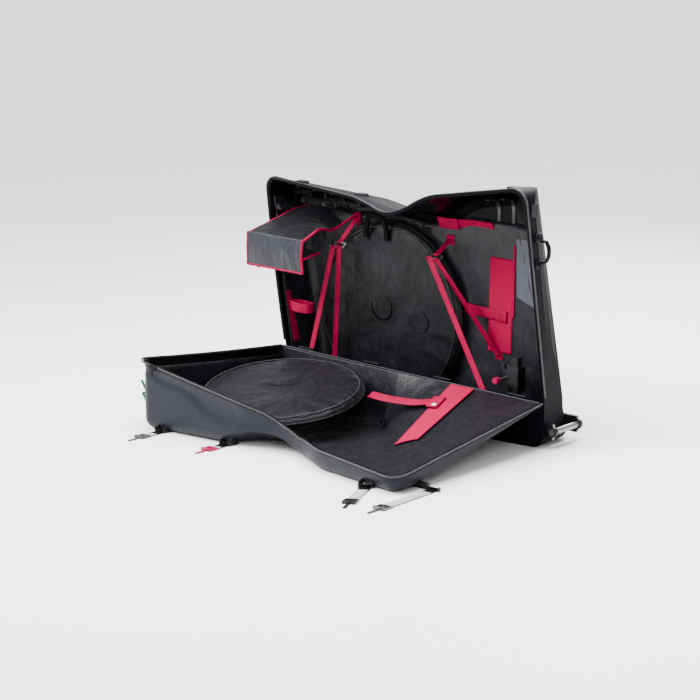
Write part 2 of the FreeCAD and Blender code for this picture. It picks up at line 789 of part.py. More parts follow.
# Clip bar on the right end, held off the shell by two brackets
lean_out = right_lean / right_rise
bar_x = hinge_half + lean_out * (hinge_height - bar_height) + bar_standoff
bar_mid = 0.0
bar = rod(V(bar_x, bar_mid - bar_half, bar_height), V(bar_x, bar_mid + bar_half, bar_height), bar_radius)
save("clip_bar", bar)
holders = []
screws = []
for side in (-1, 1):
    y = bar_mid + side * (bar_half - plate_thick / 2 - 6)
    lug = box(bar_x - lug_reach, bar_x, y - 7, y + 7, bar_height - plate_size / 2, bar_height + plate_size / 2)
    ring = rod(V(bar_x, y - 7, bar_height), V(bar_x, y + 7, bar_height), bar_radius + 6)
    holder = lug.fuse(ring).cut(base_solid).cut(bar).removeSplitter()
    for dz in (-screw_spread, screw_spread):
        tip = V(bar_x - lug_reach, y, bar_height + dz)
        head = V(bar_x, y, bar_height + dz)
        shank = rod(tip, head, 2.0).fuse(rod(head, head + V(3, 0, 0), screw_head - 0.5))
        shank = shank.removeSplitter().cut(base_solid)
        holder = holder.cut(shank)
        screws.append(shank)
    holders.append(holder)
save("clip_bar_brackets", Part.makeCompound(holders))
save("clip_bar_screws", Part.makeCompound(screws))

# Transport wheels at the left end: hub, tyre, axle and a forked bracket each
wheel_x = base_corners(hinge_y)[0][0] - wheel_radius - wheel_gap
wheel_z = floor_z(wheel_x) + (wheel_radius + clear) / math.cos(tilt)
forks = []
axles = []
for name, y in (("front", -wheel_spread), ("rear", wheel_spread)):
    half = wheel_width / 2
    centre = V(wheel_x, y, wheel_z)
    out = V(0, half, 0)
    bore = rod(centre - out * 2, centre + out * 2, wheel_axle_radius + running)
    hub = rod(centre - out, centre + out, hub_radius).cut(bore)
    tyre = rod(centre - out, centre + out, wheel_radius).cut(rod(centre - out * 2, centre + out * 2, hub_radius))
    save("wheel_hub_" + name, hub)
    save("wheel_tyre_" + name, tyre)
    end = half + cheek_gap + cheek_thick + 1
    axles.append(rod(centre - V(0, end, 0), centre + V(0, end, 0), wheel_axle_radius))
    cheeks = []
    for side in (-1, 1):
        y0 = y + side * (half + cheek_gap + cheek_thick / 2) - cheek_thick / 2
        arm_box = box(wheel_x - 12, wheel_x + 150, y0, y0 + cheek_thick, wheel_z - 12, wheel_z + 40)
        cheeks.append(arm_box)
    shelf_y = half + cheek_gap + cheek_thick
    bridge_x = wheel_x + wheel_radius + 4
    cheeks.append(box(bridge_x, wheel_x + 150, y - shelf_y, y + shelf_y, wheel_z - 12, wheel_z + 40))
    fork = cheeks[0].fuse(cheeks[1:]).removeSplitter()
    hole = rod(centre - V(0, 60, 0), centre + V(0, 60, 0), wheel_axle_radius)
    forks.append(fork.cut(base_solid).cut(hole))
save("wheel_brackets", Part.makeCompound(forks))
save("wheel_axles", Part.makeCompound(axles))

# Carrying handle on the right end: two patches with pins, and a grip that swings on them
patches = []
handle_out = []
for z in (handle_low, handle_high):
    face_x = hinge_half - lean_out * (z - hinge_height)
    patch = box(face_x - 30, face_x + 5, handle_y - handle_patch_half, handle_y + handle_patch_half, z - 14, z + 14)
    patch = patch.cut(base_solid)
    lug = box(face_x + 4, face_x + handle_standoff + 5, handle_y - 7, handle_y + 7, z - 4, z + 4)
    patches.append(patch.fuse(lug))
    handle_out.append(face_x)
swing_x = max(handle_out) + handle_standoff
swing_low = V(swing_x, handle_y, handle_low)
swing_high = V(swing_x, handle_y, handle_high)
pin_low = rod(swing_low - V(0, 0, 14), swing_low + V(0, 0, 14), handle_pin)
pin_high = rod(swing_high - V(0, 0, 14), swing_high + V(0, 0, 14), handle_pin)
solid_patches = []
for patch, pin in zip(patches, (pin_low, pin_high)):
    solid_patches.append(patch.fuse(pin).removeSplitter())
save("handle_patches", Part.makeCompound(solid_patches))
eye_low = rod(swing_low + V(0, 0, 4 + clear), swing_low + V(0, 0, 13), handle_pin + 4)
eye_high = rod(swing_high - V(0, 0, 13), swing_high - V(0, 0, 4 + clear), handle_pin + 4)
grip_x = swing_x + handle_bulge
grip = box(grip_x - 5, grip_x + 5, handle_y - 12, handle_y + 12, handle_low + 6, handle_high - 6)
arm_low = box(swing_x, grip_x, handle_y - 6, handle_y + 6, handle_low + 4 + clear, handle_low + 13)
arm_high = box(swing_x, grip_x, handle_y - 6, handle_y + 6, handle_high - 13, handle_high - 4 - clear)
grip_bore = rod(swing_low - V(0, 0, 40), swing_high + V(0, 0, 40), handle_pin + running)
end_handle = eye_low.fuse([eye_high, grip, arm_low, arm_high]).cut(grip_bore).removeSplitter()
save("end_handle", end_handle)


def rim_point(x, z):
    """A point of the closed parting at a place on the outline."""
    for (x0, t0), (x1, t1) in zip(twists, twists[1:]):
        if x0 <= x <= x1:
            twist = t0 + (t1 - t0) * (x - x0) / (x1 - x0)
            return V(x, hinge_y + twist * (z - hinge_height), z)


def top_edge(x):
    """Height of the outline's top side over x."""
    tops = upper_corners(0.0)
    for right, left in zip(tops, tops[1:]):
        if left[0] <= x <= right[0]:
            return left[1] + (right[1] - left[1]) * (x - left[0]) / (right[0] - left[0])


# Catches for the closing straps on the base, behind the rim
catches = []
for x in (-600.0, -262.0, 470.0):
    z = top_edge(x)
    y = rim_point(x, z).y + 66
    z -= top_draft * max(0.0, y - hinge_y) / base_depth
    lump = box(x - 21, x + 21, y, y + catch_length, z - 60, z + catch_thick)
    catches.append(lump.cut(base_solid))
right_z = handle_high + 90
y = rim_point(hinge_half - 60, right_z).y + right_catch_back
right_face = hinge_half - lean_out * (right_z - hinge_height)
catches.append(box(right_face - 60, right_face + catch_thick, y, y + catch_length, right_z - 21, right_z + 21).cut(base_solid))
left_z = hinge_height + 330
left_face = -hinge_half - lean_left * (left_z - hinge_height)
y = rim_point(left_face, left_z).y + 66
catches.append(box(left_face - catch_thick, left_face + 60, y, y + catch_length, left_z - 21, left_z + 21).cut(base_solid))
save("strap_catches", Part.makeCompound(catches))

# Slider of the lid's zip, running along the straight left part of its rim
slide_a = rim_point(-640.0, top_edge(-640.0))
slide_b = rim_point(-300.0, top_edge(-300.0))
run = (slide_b - slide_a).normalize()
outward = V(-run.z, 0, run.x)
inward = V(0, -1, 0)
skin = band_proud + zip_proud + clear
tab = box(-15, 15, -12, 4, 0, 4).fuse(box(-5, 5, -34, -6, 3, 6)).removeSplitter()
zip_slider = oriented(tab, slide_a + outward * skin + inward * 3, run, V(0, 1, 0))
save("lid_zip_slider", opened(zip_slider))


# Closing straps: an eye on a bar, webbing, and a hook with a moulded pull; made in the floor frame
lid_floor_solid = opened(lid_block(0.0))
lid_floor_solid.rotate(V(0, 0, 0), V(0, 1, 0), hinge_tilt)


def closing_strap(name, root, along, up, length, cheeks, wall_block):
    """One strap hinged on its bar. Returns the bar with the cheeks that hold it on the lid."""
    across = up.cross(along)
    half = closure_width / 2
    low = -strap_eye
    eye = Part.makeCylinder(strap_eye, closure_width, V(0, -half, 0), V(0, 1, 0))
    sheet = box(0, length, -half, half, low, low + webbing)
    bore = Part.makeCylinder(strap_pin + running, 4 * half, V(0, -2 * half, 0), V(0, 1, 0))
    strap = eye.fuse(sheet).cut(bore).removeSplitter()
    under = low - 2 * clear - 1
    start = length - hook_pocket
    end = start + hook_length
    body = box(start, end, -half - 3, half + 3, under, under + hook_thick)
    socket = box(start - 1, length + clear, -half - clear, half + clear, low - clear, low + webbing + clear)
    window = box(length + 6, end - 8, -half + 4, half - 4, under - 1, under + 20)
    lip = box(end - 6, end, -half, half, under, under + 11)
    tail = box(end - 1, end - 1 + tail_length, -tail_width / 2, tail_width / 2, under, under + 2.4)
    hook = body.cut(socket).cut(window).fuse([lip, tail]).removeSplitter()
    save("closure_strap_" + name, oriented(strap, root, along, across), tilted=False)
    save("closure_hook_" + name, oriented(hook, root, along, across), tilted=False)
    reach = half + 1.0
    bar_rod = Part.makeCylinder(strap_pin, 2 * (reach + cheek), V(0, -reach - cheek, 0), V(0, 1, 0))
    holders = [wall_block] if wall_block else []
    for side in (-1, 1):
        y0 = side * (reach + cheek / 2) - cheek / 2
        u0, u1, n0, n1 = cheeks
        holders.append(box(u0, u1, y0, y0 + cheek, n0, n1))
    bar_piece = oriented(bar_rod.fuse(holders).removeSplitter(), root, along, across)
    return bar_piece.cut(lid_floor_solid)


def floor_place(x, out):
    """A point over the floor at the foot of the open lid's front wall, out beyond its edge."""
    turned = x * math.cos(tilt) + floor_z(x) * math.sin(tilt)
    return V(turned, hinge_y - (top_edge(x) - hinge_height) - out, pin_rise)


up = V(0, 0, 1)
forward = V(0, -1, 0)
skewed = V(0.42, -0.907, 0)
floor_cheeks = (-edge_round, 5, clear - pin_rise, 12)
wall_cheeks = (-5, 5, -edge_round, 5)
small_cheeks = (-7, 5, clear - pin_rise, 6)
reach_in = closure_width / 2 + 1
side_block = box(-7, 5, -reach_in - 2 * edge_round, -reach_in, clear - pin_rise, 12)
left_h = 530.0
left_root = V(-hinge_half - lean_left * left_h - 9.0, hinge_y - left_h, 30.0)
left_along = V(-0.55, 0, 0.835)
right_root = V(hinge_half + 20.0, hinge_y - 590.0, pin_rise)
bars = [
    closing_strap("front_left", floor_place(-612.0, 3.0), forward, up, 74.0, floor_cheeks, None),
    closing_strap("front_middle", floor_place(-300.0, 3.0), forward, up, 62.0, floor_cheeks, None),
    closing_strap("front_right", floor_place(428.0, 3.0), skewed, up, 150.0, floor_cheeks, None),
    closing_strap("right_end", right_root, forward, up, 230.0, small_cheeks, side_block),
    closing_strap("left_end", left_root, left_along, V(-0.835, 0, -0.55), 66.0, wall_cheeks, None),
]
save("lid_strap_bars", Part.makeCompound(bars), tilted=False)
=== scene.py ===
import json
from math import acos, atan2, copysign, cos, exp, pi, radians, sin, tan
import bmesh
import bpy
import numpy as np
from mathutils import Matrix, Vector, noise


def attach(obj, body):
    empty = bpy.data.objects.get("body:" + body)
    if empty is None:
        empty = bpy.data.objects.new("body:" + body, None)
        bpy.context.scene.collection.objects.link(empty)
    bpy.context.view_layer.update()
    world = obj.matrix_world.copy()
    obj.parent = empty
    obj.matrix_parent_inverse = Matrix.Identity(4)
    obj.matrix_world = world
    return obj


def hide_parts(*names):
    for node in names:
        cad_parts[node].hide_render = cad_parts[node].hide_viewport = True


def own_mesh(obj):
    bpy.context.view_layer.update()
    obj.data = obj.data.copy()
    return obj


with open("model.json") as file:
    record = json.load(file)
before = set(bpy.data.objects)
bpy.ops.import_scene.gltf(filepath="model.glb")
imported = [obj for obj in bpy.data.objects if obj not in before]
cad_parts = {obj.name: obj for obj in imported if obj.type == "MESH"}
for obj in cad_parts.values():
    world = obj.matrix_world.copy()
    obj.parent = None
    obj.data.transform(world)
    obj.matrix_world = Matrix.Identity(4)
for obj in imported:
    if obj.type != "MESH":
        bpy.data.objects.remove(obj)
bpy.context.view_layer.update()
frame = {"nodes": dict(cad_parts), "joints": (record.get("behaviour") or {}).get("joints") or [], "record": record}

# The case frame, in millimetres: X along the hinge, Y to the back, Z square to both.
# Hinge line and half its length, back and depth of the base, edge radius, wall, lean of the ends,
# top edge of the base's liner, and how far a liner's face lies in from the outer skin
TILT = radians(2.55)
COS, SIN, TAN = cos(TILT), sin(TILT), tan(TILT)
HINGE_Y, HINGE_Z, HALF = -95, 192, 595
BACK, DEPTH = 95, 190
EDGE, WALL = 42, 4
LEAN_LEFT, LEAN_RIGHT = 133 / 613, 26 / 716
LINER_TOP = HINGE_Z + 538
LINER_FACE = 7.9


def to_row(points):
    """Case frame in millimetres to row frame in metres."""
    p = np.asarray(points, float).reshape(-1, 3)
    return np.stack([p[:, 0] * COS + p[:, 2] * SIN, p[:, 1], p[:, 2] * COS - p[:, 0] * SIN], 1) / 1000


def swing(points):
    """A point of the closed lid to where it lies with the case open."""
    p = np.asarray(points, float)
    out = p.copy()
    out[..., 1] = HINGE_Y - (p[..., 2] - HINGE_Z)
    out[..., 2] = HINGE_Z + (p[..., 1] - HINGE_Y)
    return out


def floor_z(x):
    return x * TAN


def add(name, data):
    """A new object in the scene."""
    obj = bpy.data.objects.new(name, data)
    bpy.context.collection.objects.link(obj)
    return obj


# Camera
LENS = 94.93
CAMERA_SPOT = (4.1365, -4.8942, 1.6149)
CAMERA_AHEAD = (-0.66060, 0.72143, -0.20773)
CAMERA_RIGHT = (0.74106, 0.67092, -0.02659)


def camera():
    data = bpy.data.cameras.new("camera")
    data.lens = LENS
    data.sensor_width = 36
    data.sensor_fit = "HORIZONTAL"
    data.clip_end = 400
    ahead = Vector(CAMERA_AHEAD).normalized()
    right = Vector(CAMERA_RIGHT)
    right = (right - ahead * right.dot(ahead)).normalized()
    turn = Matrix((right, right.cross(ahead), -ahead)).transposed().to_4x4()
    obj = add("camera", data)
    obj.matrix_world = Matrix.Translation(CAMERA_SPOT) @ turn
    bpy.context.scene.camera = obj


# Materials
class Nodes:
    """Shorthand for building one node material."""

    def __init__(self, name):
        self.material = bpy.data.materials.new(name)
        self.material.use_nodes = True
        self.tree = self.material.node_tree
        self.bsdf = self.tree.nodes["Principled BSDF"]
        self.coord = self.tree.nodes.new("ShaderNodeTexCoord").outputs
        self.place = self.coord["Object"]

    def put(self, socket, value):
        """Link a socket to a node, or set it to a number, vector or colour; None leaves it."""
        if isinstance(value, bpy.types.NodeSocket):
            self.tree.links.new(value, socket)
        elif value is not None and socket.type == "RGBA":
            socket.default_value = tuple(value) + (1,)
        elif value is not None:
            socket.default_value = value

    def node(self, kind, output, inputs, **settings):
        """Add a node with its settings and inputs, and give back one of its outputs."""
        node = self.tree.nodes.new("ShaderNode" + kind)
        for key, value in settings.items():
            setattr(node, key, value)
        for key, value in inputs.items():
            self.put(node.inputs[key], value)
        return node.outputs[output]

    def split(self, vector, axis):
        return self.node("SeparateXYZ", axis, {0: vector})

    def stretched(self, scale):
        return self.node("Mapping", "Vector", {"Vector": self.place, "Scale": scale})

    def noise(self, scale, detail=4, rough=0.55, vector=None):
        inputs = {"Vector": vector or self.place, "Scale": scale, "Detail": detail, "Roughness": rough}
        return self.node("TexNoise", "Fac", inputs)

    def wave(self, period, direction, vector=None):
        inputs = {"Vector": vector or self.place, "Scale": 0.31416 / period}
        return self.node("TexWave", "Fac", inputs, wave_type="BANDS", bands_direction=direction)

    def math(self, operation, a, b=0):
        return self.node("Math", 0, {0: a, 1: b}, operation=operation)

    def vector(self, operation, a, b, output="Vector"):
        return self.node("VectorMath", output, {0: a, 1: b}, operation=operation)

    def ramp(self, source, low, high, a=0, b=1):
        inputs = {"Value": source, "From Min": low, "From Max": high, "To Min": a, "To Max": b}
        return self.node("MapRange", "Result", inputs)

    def mix(self, factor, a, b):
        return self.node("Mix", 2, {0: factor, 6: a, 7: b}, data_type="RGBA")

    def times(self, a, b):
        return self.math("MULTIPLY", a, b)

    def vary(self, source, color, dark, light):
        """A colour between a darker and a lighter shade of itself."""
        return self.mix(self.ramp(source, 0.3, 0.7), shade(color, dark), shade(color, light))

    def worn_edge(self):
        return self.ramp(self.node("NewGeometry", "Pointiness", {}), 0.53, 0.62)

    def ridge(self, source):
        """Sharp crests where a noise crosses its middle."""
        return self.times(self.math("ABSOLUTE", self.math("SUBTRACT", source, 0.5)), -1)

    def patch(self, left, top, hem, fall, soft=0.0015):
        """An area right of an x, below a z and above a hem that falls to the right."""
        x, z = self.split(self.place, "X"), self.split(self.place, "Z")
        side = self.ramp(x, left, left + soft)
        high = self.ramp(z, top, top + soft, 1, 0)
        low = hem + left * fall
        above = self.ramp(self.math("ADD", z, self.times(x, fall)), low, low + soft)
        return self.times(self.times(side, high), above)

    def bump(self, height, distance, strength, normal=None):
        inputs = {"Height": height, "Distance": distance, "Strength": strength, "Normal": normal}
        return self.node("Bump", "Normal", inputs)

    def finish(self, color, rough, normal=None, metal=0, sheen=0, spec=0.5):
        values = {"Base Color": color, "Roughness": rough, "Normal": normal, "Metallic": metal,
                  "Sheen Weight": sheen, "Sheen Roughness": 0.45, "Specular IOR Level": spec}
        for key, value in values.items():
            self.put(self.bsdf.inputs[key], value)
        return self.material


def shade(color, factor):
    return tuple(min(1, c * factor) for c in color)


def cloth(n, color, rough, spec, crinkle=0.0022, patch=None):
    """Coated nylon: a fine plain weave, soft crinkles, and areas that are duller or shinier."""
    thread = 0.0016
    weave = n.times(n.wave(thread, "DIAGONAL"), n.wave(thread, "Z"))
    fine = n.noise(38, 5, 0.6)
    tint = n.vary(n.noise(3.2, 3), color, 0.78, 1.28)
    tint = n.mix(n.ramp(weave, 0, 1, 0, 0.22), tint, shade(color, 1.9))
    if patch is not None:
        tint = n.mix(n.patch(*patch[1:]), tint, patch[0])
    fold = n.ridge(n.noise(5.5, 3, 0.5, n.stretched((1.6, 1.6, 0.7))))
    sharp = n.ridge(n.noise(17, 3, 0.5))
    normal = None
    for height, depth, strength in ((fold, crinkle * 7.5, 0.8), (sharp, crinkle * 1.1, 0.6),
                                    (n.noise(7, 6, 0.6), crinkle * 2, 0.5), (fine, crinkle * 0.6, 0.6),
                                    (weave, 0.00025, 0.6)):
        normal = n.bump(height, depth, strength, normal)
    return n.finish(tint, n.ramp(fine, 0.3, 0.7, rough - 0.09, rough + 0.12), normal, sheen=0.04, spec=spec)


def webbing(n, color, root=None):
    """Woven strap: ribs along it and picks across it, by its own UV; root is a dyed first length."""
    uv = n.coord["UV"]
    weave = n.times(n.wave(0.0022, "X", uv), n.wave(0.0031, "Y", uv))
    wear = n.noise(26, 4)
    tint = n.mix(n.ramp(wear, 0.3, 0.72), shade(color, 0.82), shade(color, 1.14))
    tint = n.mix(n.ramp(weave, 0, 1, 0.32, 0), tint, shade(color, 0.45))
    if root is not None:
        dye, length = root
        tint = n.mix(n.ramp(n.split(uv, "X"), length - 0.002, length + 0.002), dye, tint)
    normal = n.bump(weave, 0.0005, 0.8)
    normal = n.bump(n.noise(60, 4), 0.0006, 0.5, normal)
    return n.finish(tint, n.ramp(wear, 0.3, 0.7, 0.55, 0.78), normal, spec=0.06)


def plastic(n, color, rough, grain=520, depth=0.00025):
    """Moulded plastic: leather-like grain, faint cloudiness, paler worn edges."""
    edge = n.worn_edge()
    tint = n.vary(n.noise(5, 4), color, 0.86, 1.15)
    tint = n.mix(n.times(edge, 0.5), tint, shade(color, 2.25))
    scuff = n.ramp(n.noise(42, 6, 0.7), 0.25, 0.75, rough - 0.07, rough + 0.1)
    return n.finish(tint, scuff, n.bump(n.noise(grain, 3), depth, 0.6), spec=0.3)


def metal(n, color, rough=0.32):
    """Plated or satin metal with fine drawn lines and smudges."""
    lines = n.noise(30, 6, 0.6, n.stretched((6, 60, 60)))
    smudge = n.noise(22, 4)
    tint = n.vary(smudge, color, 0.8, 1.12)
    polish = n.ramp(smudge, 0.25, 0.75, rough - 0.08, rough + 0.14)
    return n.finish(tint, polish, n.bump(lines, 0.0002, 0.35), metal=1)


def rubber(n, color, rough, spec=0.3):
    """Moulded rubber with a little dust."""
    dust = n.noise(30, 5)
    tint = n.mix(n.ramp(dust, 0.35, 0.75), color, shade(color, 2.2))
    dull = n.ramp(dust, 0.3, 0.7, rough - 0.06, rough + 0.1)
    return n.finish(tint, dull, n.bump(n.noise(420, 3), 0.0003, 0.5), spec=spec)


def fuzzy(n, color):
    """Loop side of hook tape: dense fuzz in faint rows."""
    fuzz = n.noise(900, 3, 0.7)
    rows = n.wave(0.0042, "X")
    tint = n.vary(fuzz, color, 0.68, 1.15)
    tint = n.mix(n.ramp(n.noise(12, 3), 0.4, 0.7, 0, 0.3), tint, shade(color, 0.75))
    pile = n.math("ADD", fuzz, n.times(rows, 0.25))
    return n.finish(tint, 0.86, n.bump(pile, 0.0009, 0.8), spec=0.06)


def zipper(n, color):
    """Zip tape with a coil: close teeth along the parting."""
    teeth = n.math("MAXIMUM", n.wave(0.0032, "X"), n.wave(0.0032, "Y"))
    tint = n.mix(n.ramp(teeth, 0.3, 0.8), shade(color, 0.5), shade(color, 2.4))
    return n.finish(tint, 0.5, n.bump(teeth, 0.0012, 0.9))


def shell_plastic(n, outside, inside, spec):
    """One moulding: matte grained outside, glossy inside, told apart by where a face looks."""
    from_middle = n.vector("SUBTRACT", n.place, (-0.02, -0.06, 0.44))
    outwards = n.vector("MULTIPLY", from_middle, (1, 5, 1.4))
    facing = n.vector("DOT_PRODUCT", outwards, n.node("NewGeometry", "Normal", {}), "Value")
    out = n.ramp(facing, -0.02, 0.02)
    scuff = n.noise(45, 6, 0.7)
    edge = n.worn_edge()
    body = n.vary(n.noise(6, 4), outside, 0.88, 1.12)
    tint = n.mix(out, inside, body)
    tint = n.mix(n.times(edge, 0.2), tint, shade(outside, 1.5))
    matte = n.times(out, n.ramp(scuff, 0.25, 0.75, 0.42, 0.6))
    gloss = n.times(n.math("SUBTRACT", 1, out), n.ramp(scuff, 0.25, 0.75, 0.16, 0.3))
    normal = n.bump(n.times(n.noise(480, 3), out), 0.0003, 0.6)
    normal = n.bump(n.noise(9, 3), 0.004, 0.25, normal)
    return n.finish(tint, n.math("ADD", matte, gloss), normal, spec=spec)


# The silver cloth of the liner: colour, left edge, top, hem at the left edge and the hem's fall, in metres
SILVER = ((0.060, 0.062, 0.078), 0.356, 0.662, 0.462, 0.42)
BLACK_ROOT = ((0.003, 0.003, 0.0035), 0.052)
RECIPES = {
    "case_shell": (shell_plastic, (0.0035, 0.0039, 0.0088), (0.002, 0.002, 0.003), 0.18),
    "base_shell": (shell_plastic, (0.0018, 0.0020, 0.0036), (0.0018, 0.0019, 0.0029), 0.05),
    "rim_rubber": (rubber, (0.0013, 0.0014, 0.0022), 0.48, 0.035),
    "zip_tape": (zipper, (0.003, 0.003, 0.0035)),
    "liner_cloth": (cloth, (0.0054, 0.0056, 0.0090), 0.34, 0.3, 0.0022, SILVER),
    "lid_lining": (cloth, (0.0024, 0.0026, 0.0046), 0.36, 0.19),
    "lid_bag_cloth": (cloth, (0.0014, 0.0016, 0.0032), 0.4, 0.13),
    "pouch_cloth": (cloth, (0.0015, 0.0017, 0.0031), 0.42, 0.13),
    "pouch_face": (cloth, (0.0092, 0.0096, 0.0145), 0.32, 0.22, 0.004),
    "bag_cloth": (cloth, (0.0022, 0.0024, 0.0040), 0.38, 0.17),
    "pocket_cloth": (cloth, (0.075, 0.077, 0.093), 0.3, 0.26),
    "red_webbing": (webbing, (0.29, 0, 0.038)),
    "red_panel": (fuzzy, (0.32, 0, 0.040)),
    "steel": (metal, (0.30, 0.30, 0.32)),
    "black_plastic": (plastic, (0.003, 0.003, 0.0035), 0.38),
    "rib_plastic": (plastic, (0.012, 0.012, 0.014), 0.2, 300, 0.0001),
    "bracket_alloy": (metal, (0.045, 0.045, 0.05), 0.4),
    "red_knob": (plastic, (0.17, 0, 0.026), 0.35),
    "tyre_rubber": (rubber, (0.008, 0.008, 0.008), 0.78),
    "white_webbing": (webbing, (0.42, 0.42, 0.44), BLACK_ROOT),
    "white_label": (webbing, (0.80, 0.80, 0.82)),
    "black_webbing": (webbing, (0.0028, 0.0028, 0.0034)),
    "green_hook": (plastic, (0.008, 0.06, 0.03), 0.42),
    "grey_hook": (plastic, (0.03, 0.03, 0.034), 0.42),
    "black_hook": (plastic, (0.004, 0.004, 0.0046), 0.4),
    "silver_hook": (metal, (0.13, 0.13, 0.14), 0.35),
    "hinge_metal": (metal, (0.012, 0.012, 0.014), 0.5),
}
materials = {name: kind(Nodes(name), *values) for name, (kind, *values) in RECIPES.items()}


# Mesh helpers
def make(name, verts, faces, body, slot, material=None, uv=None):
    """A mesh piece in the row frame, in metres, riding on a body."""
    mesh = bpy.data.meshes.new(name)
    mesh.from_pydata(verts.tolist(), [], faces)
    if uv is not None:
        layer = mesh.uv_layers.new(name="UVMap")
        for loop in mesh.loops:
            layer.data[loop.index].uv = uv[loop.vertex_index]
    mesh.materials.append(materials[material or slot])
    mesh.shade_smooth()
    mesh.validate()
    obj = add(name, mesh)
    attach(obj, body)
    return obj


def grid_faces(rows, cols, wrap):
    """Quads of a grid whose points run row by row."""
    faces = []
    for r in range(rows - 1):
        for c in range(cols if wrap else cols - 1):
            a, b = r * cols + c, r * cols + (c + 1) % cols
            faces.append((a, b, b + cols, a + cols))
    return faces


def capped_faces(rows, cols):
    """Faces of a closed bar: rows of points round it, and a cap on each end."""
    caps = [tuple(range(cols - 1, -1, -1)), tuple(range((rows - 1) * cols, rows * cols))]
    return grid_faces(rows, cols, True) + caps


def merge(obj, distance=0.0002):
    """Weld points that a clamp has brought together, and drop the faces this empties."""
    bm = bmesh.new()
    bm.from_mesh(obj.data)
    bmesh.ops.remove_doubles(bm, verts=bm.verts, dist=distance)
    bmesh.ops.dissolve_degenerate(bm, edges=bm.edges, dist=distance)
    bmesh.ops.recalc_face_normals(bm, faces=bm.faces)
    bm.to_mesh(obj.data)
    bm.free()
    obj.data.shade_smooth()


def solidify(obj, thickness):
    mod = obj.modifiers.new("thickness", "SOLIDIFY")
    mod.thickness = thickness
    mod.offset = 0


def bevel(obj, width):
    mod = obj.modifiers.new("edges", "BEVEL")
    mod.width = width
    mod.segments = 2
    mod.limit_method = "ANGLE"
    mod.angle_limit = radians(35)


def unit(vectors):
    v = np.asarray(vectors, float)
    return v / np.linalg.norm(v, axis=-1, keepdims=True)


def ease(value, start, width):
    """0 up to start, then rising to 1 over a width."""
    return np.clip((value - start) / width, 0, 1)


def ripples(x, y, z):
    """Smooth noise round zero, the same each run."""
    return noise.fractal(Vector((x, y, z)), 0.9, 2, 3)


def turbulence(points, scale, seed):
    spots = np.asarray(points) * scale + np.array((seed, -2 * seed, 3 * seed))
    return np.array([ripples(*spot) for spot in spots])


def circle(count):
    """Angles spread evenly over a full turn."""
    return [2 * pi * k / count for k in range(count)]


def run_length(line):
    """Length along a line up to each of its points."""
    return np.concatenate([[0], np.cumsum(np.linalg.norm(np.diff(line, axis=0), axis=1))])


def smooth_curve(points, count):
    """Points spread evenly along a smooth line through the given ones."""
    p = np.asarray(points, float)
    if len(p) == 2:
        t = np.linspace(0, 1, count)[:, None]
        return p[0] * (1 - t) + p[1] * t
    p = np.vstack([2 * p[0] - p[1], p, 2 * p[-1] - p[-2]])
    fine = []
    for a, b, c, d in zip(p, p[1:], p[2:], p[3:]):
        for t in np.linspace(0, 1, 24, endpoint=False):
            bend = (2 * a - 5 * b + 4 * c - d) * t * t + (3 * b - a - 3 * c + d) * t ** 3
            fine.append(0.5 * (2 * b + (c - a) * t + bend))
    fine = np.array(fine + [p[-2]])
    run = run_length(fine)
    at = np.linspace(0, run[-1], count)
    return np.stack([np.interp(at, run, fine[:, k]) for k in range(3)], 1)


def sweep(line, side, up, profile):
    """A profile carried along a line, its first coordinate along side and its second along up."""
    profile = np.array(profile)
    return line[:, None] + side[:, None] * profile[:, :1] + up[:, None] * profile[:, 1:]


def ribbon(name, points, across, width, thick, count, slot="red_webbing", material=None, body="base",
           case=True, ripple=0):
    """Flat webbing with rounded edges along a smooth line; across is its width's direction."""
    line = smooth_curve(points, count)
    tangent = unit(np.gradient(line, axis=0))
    side = np.broadcast_to(np.asarray(across, float), line.shape)
    side = unit(side - tangent * np.sum(side * tangent, 1)[:, None])
    normal = np.cross(tangent, side)
    if ripple:
        line = line + normal * (turbulence(line / 1000, 9, 1) * ripple)[:, None]
    half, h = width / 2, thick / 2
    upper = [(-half, h * 0.3), (-half + h, h), (-half * 0.33, h * 0.92)]
    upper += [(-a, b) for a, b in reversed(upper)]
    lower = [(-a, -b) for a, b in upper]
    profile = lower[-1:] + upper + lower[:-1]
    run = run_length(line) / 1000
    uv = [(r, (a + half) / 1000) for r in run for a, b in profile]
    verts = sweep(line, side, normal, profile)
    place = to_row(verts) if case else verts.reshape(-1, 3) / 1000
    return make(name, place, capped_faces(count, len(profile)), body, slot, material, uv)


def tube(name, points, radius, slot, count=60, body="base", material=None, closed=False, sides=10):
    """Round piping along a smooth line, or round a closed ring of points."""
    line = np.asarray(points, float) if closed else smooth_curve(points, count)
    n = len(line)
    tangent = unit(np.roll(line, -1, 0) - np.roll(line, 1, 0) if closed else np.gradient(line, axis=0))
    askew = np.array([0.31, 0.83, 0.47])
    side = unit(np.cross(tangent, askew))
    up = np.cross(side, tangent)
    verts = sweep(line, side, up, [(radius * cos(a), radius * sin(a)) for a in circle(sides)])
    if closed:
        faces = [tuple(i % (n * sides) for i in face) for face in grid_faces(n + 1, sides, True)]
    else:
        faces = capped_faces(n, sides)
    return make(name, to_row(verts), faces, body, slot, material)


def sheet_grid(name, grid, slot, thick, material=None, body="base"):
    """A sheet over a grid of case points, given a thickness."""
    faces = grid_faces(len(grid), len(grid[0]), False)
    obj = make(name, to_row(grid), faces, body, slot, material)
    solidify(obj, thick)
    return obj


def grid_of(rows, cols, point):
    """A grid of points from a function of two shares: t down the rows, s along each row."""
    return [[point(t, s) for s in np.linspace(0, 1, cols)] for t in np.linspace(0, 1, rows)]


# Outline of the halves, as in the solids: x, z, corner radius, and how far x moves over the depth
UPPER = ((569, 908, 55, -20), (160, 838, 300, -10), (0, 745, 260, 0),
         (-225, 785, 300, 0), (-728, 805, 45, 28))
UPPER_DROP, FOOT_DRAFT, LID_FOOT = 32, 10, 9


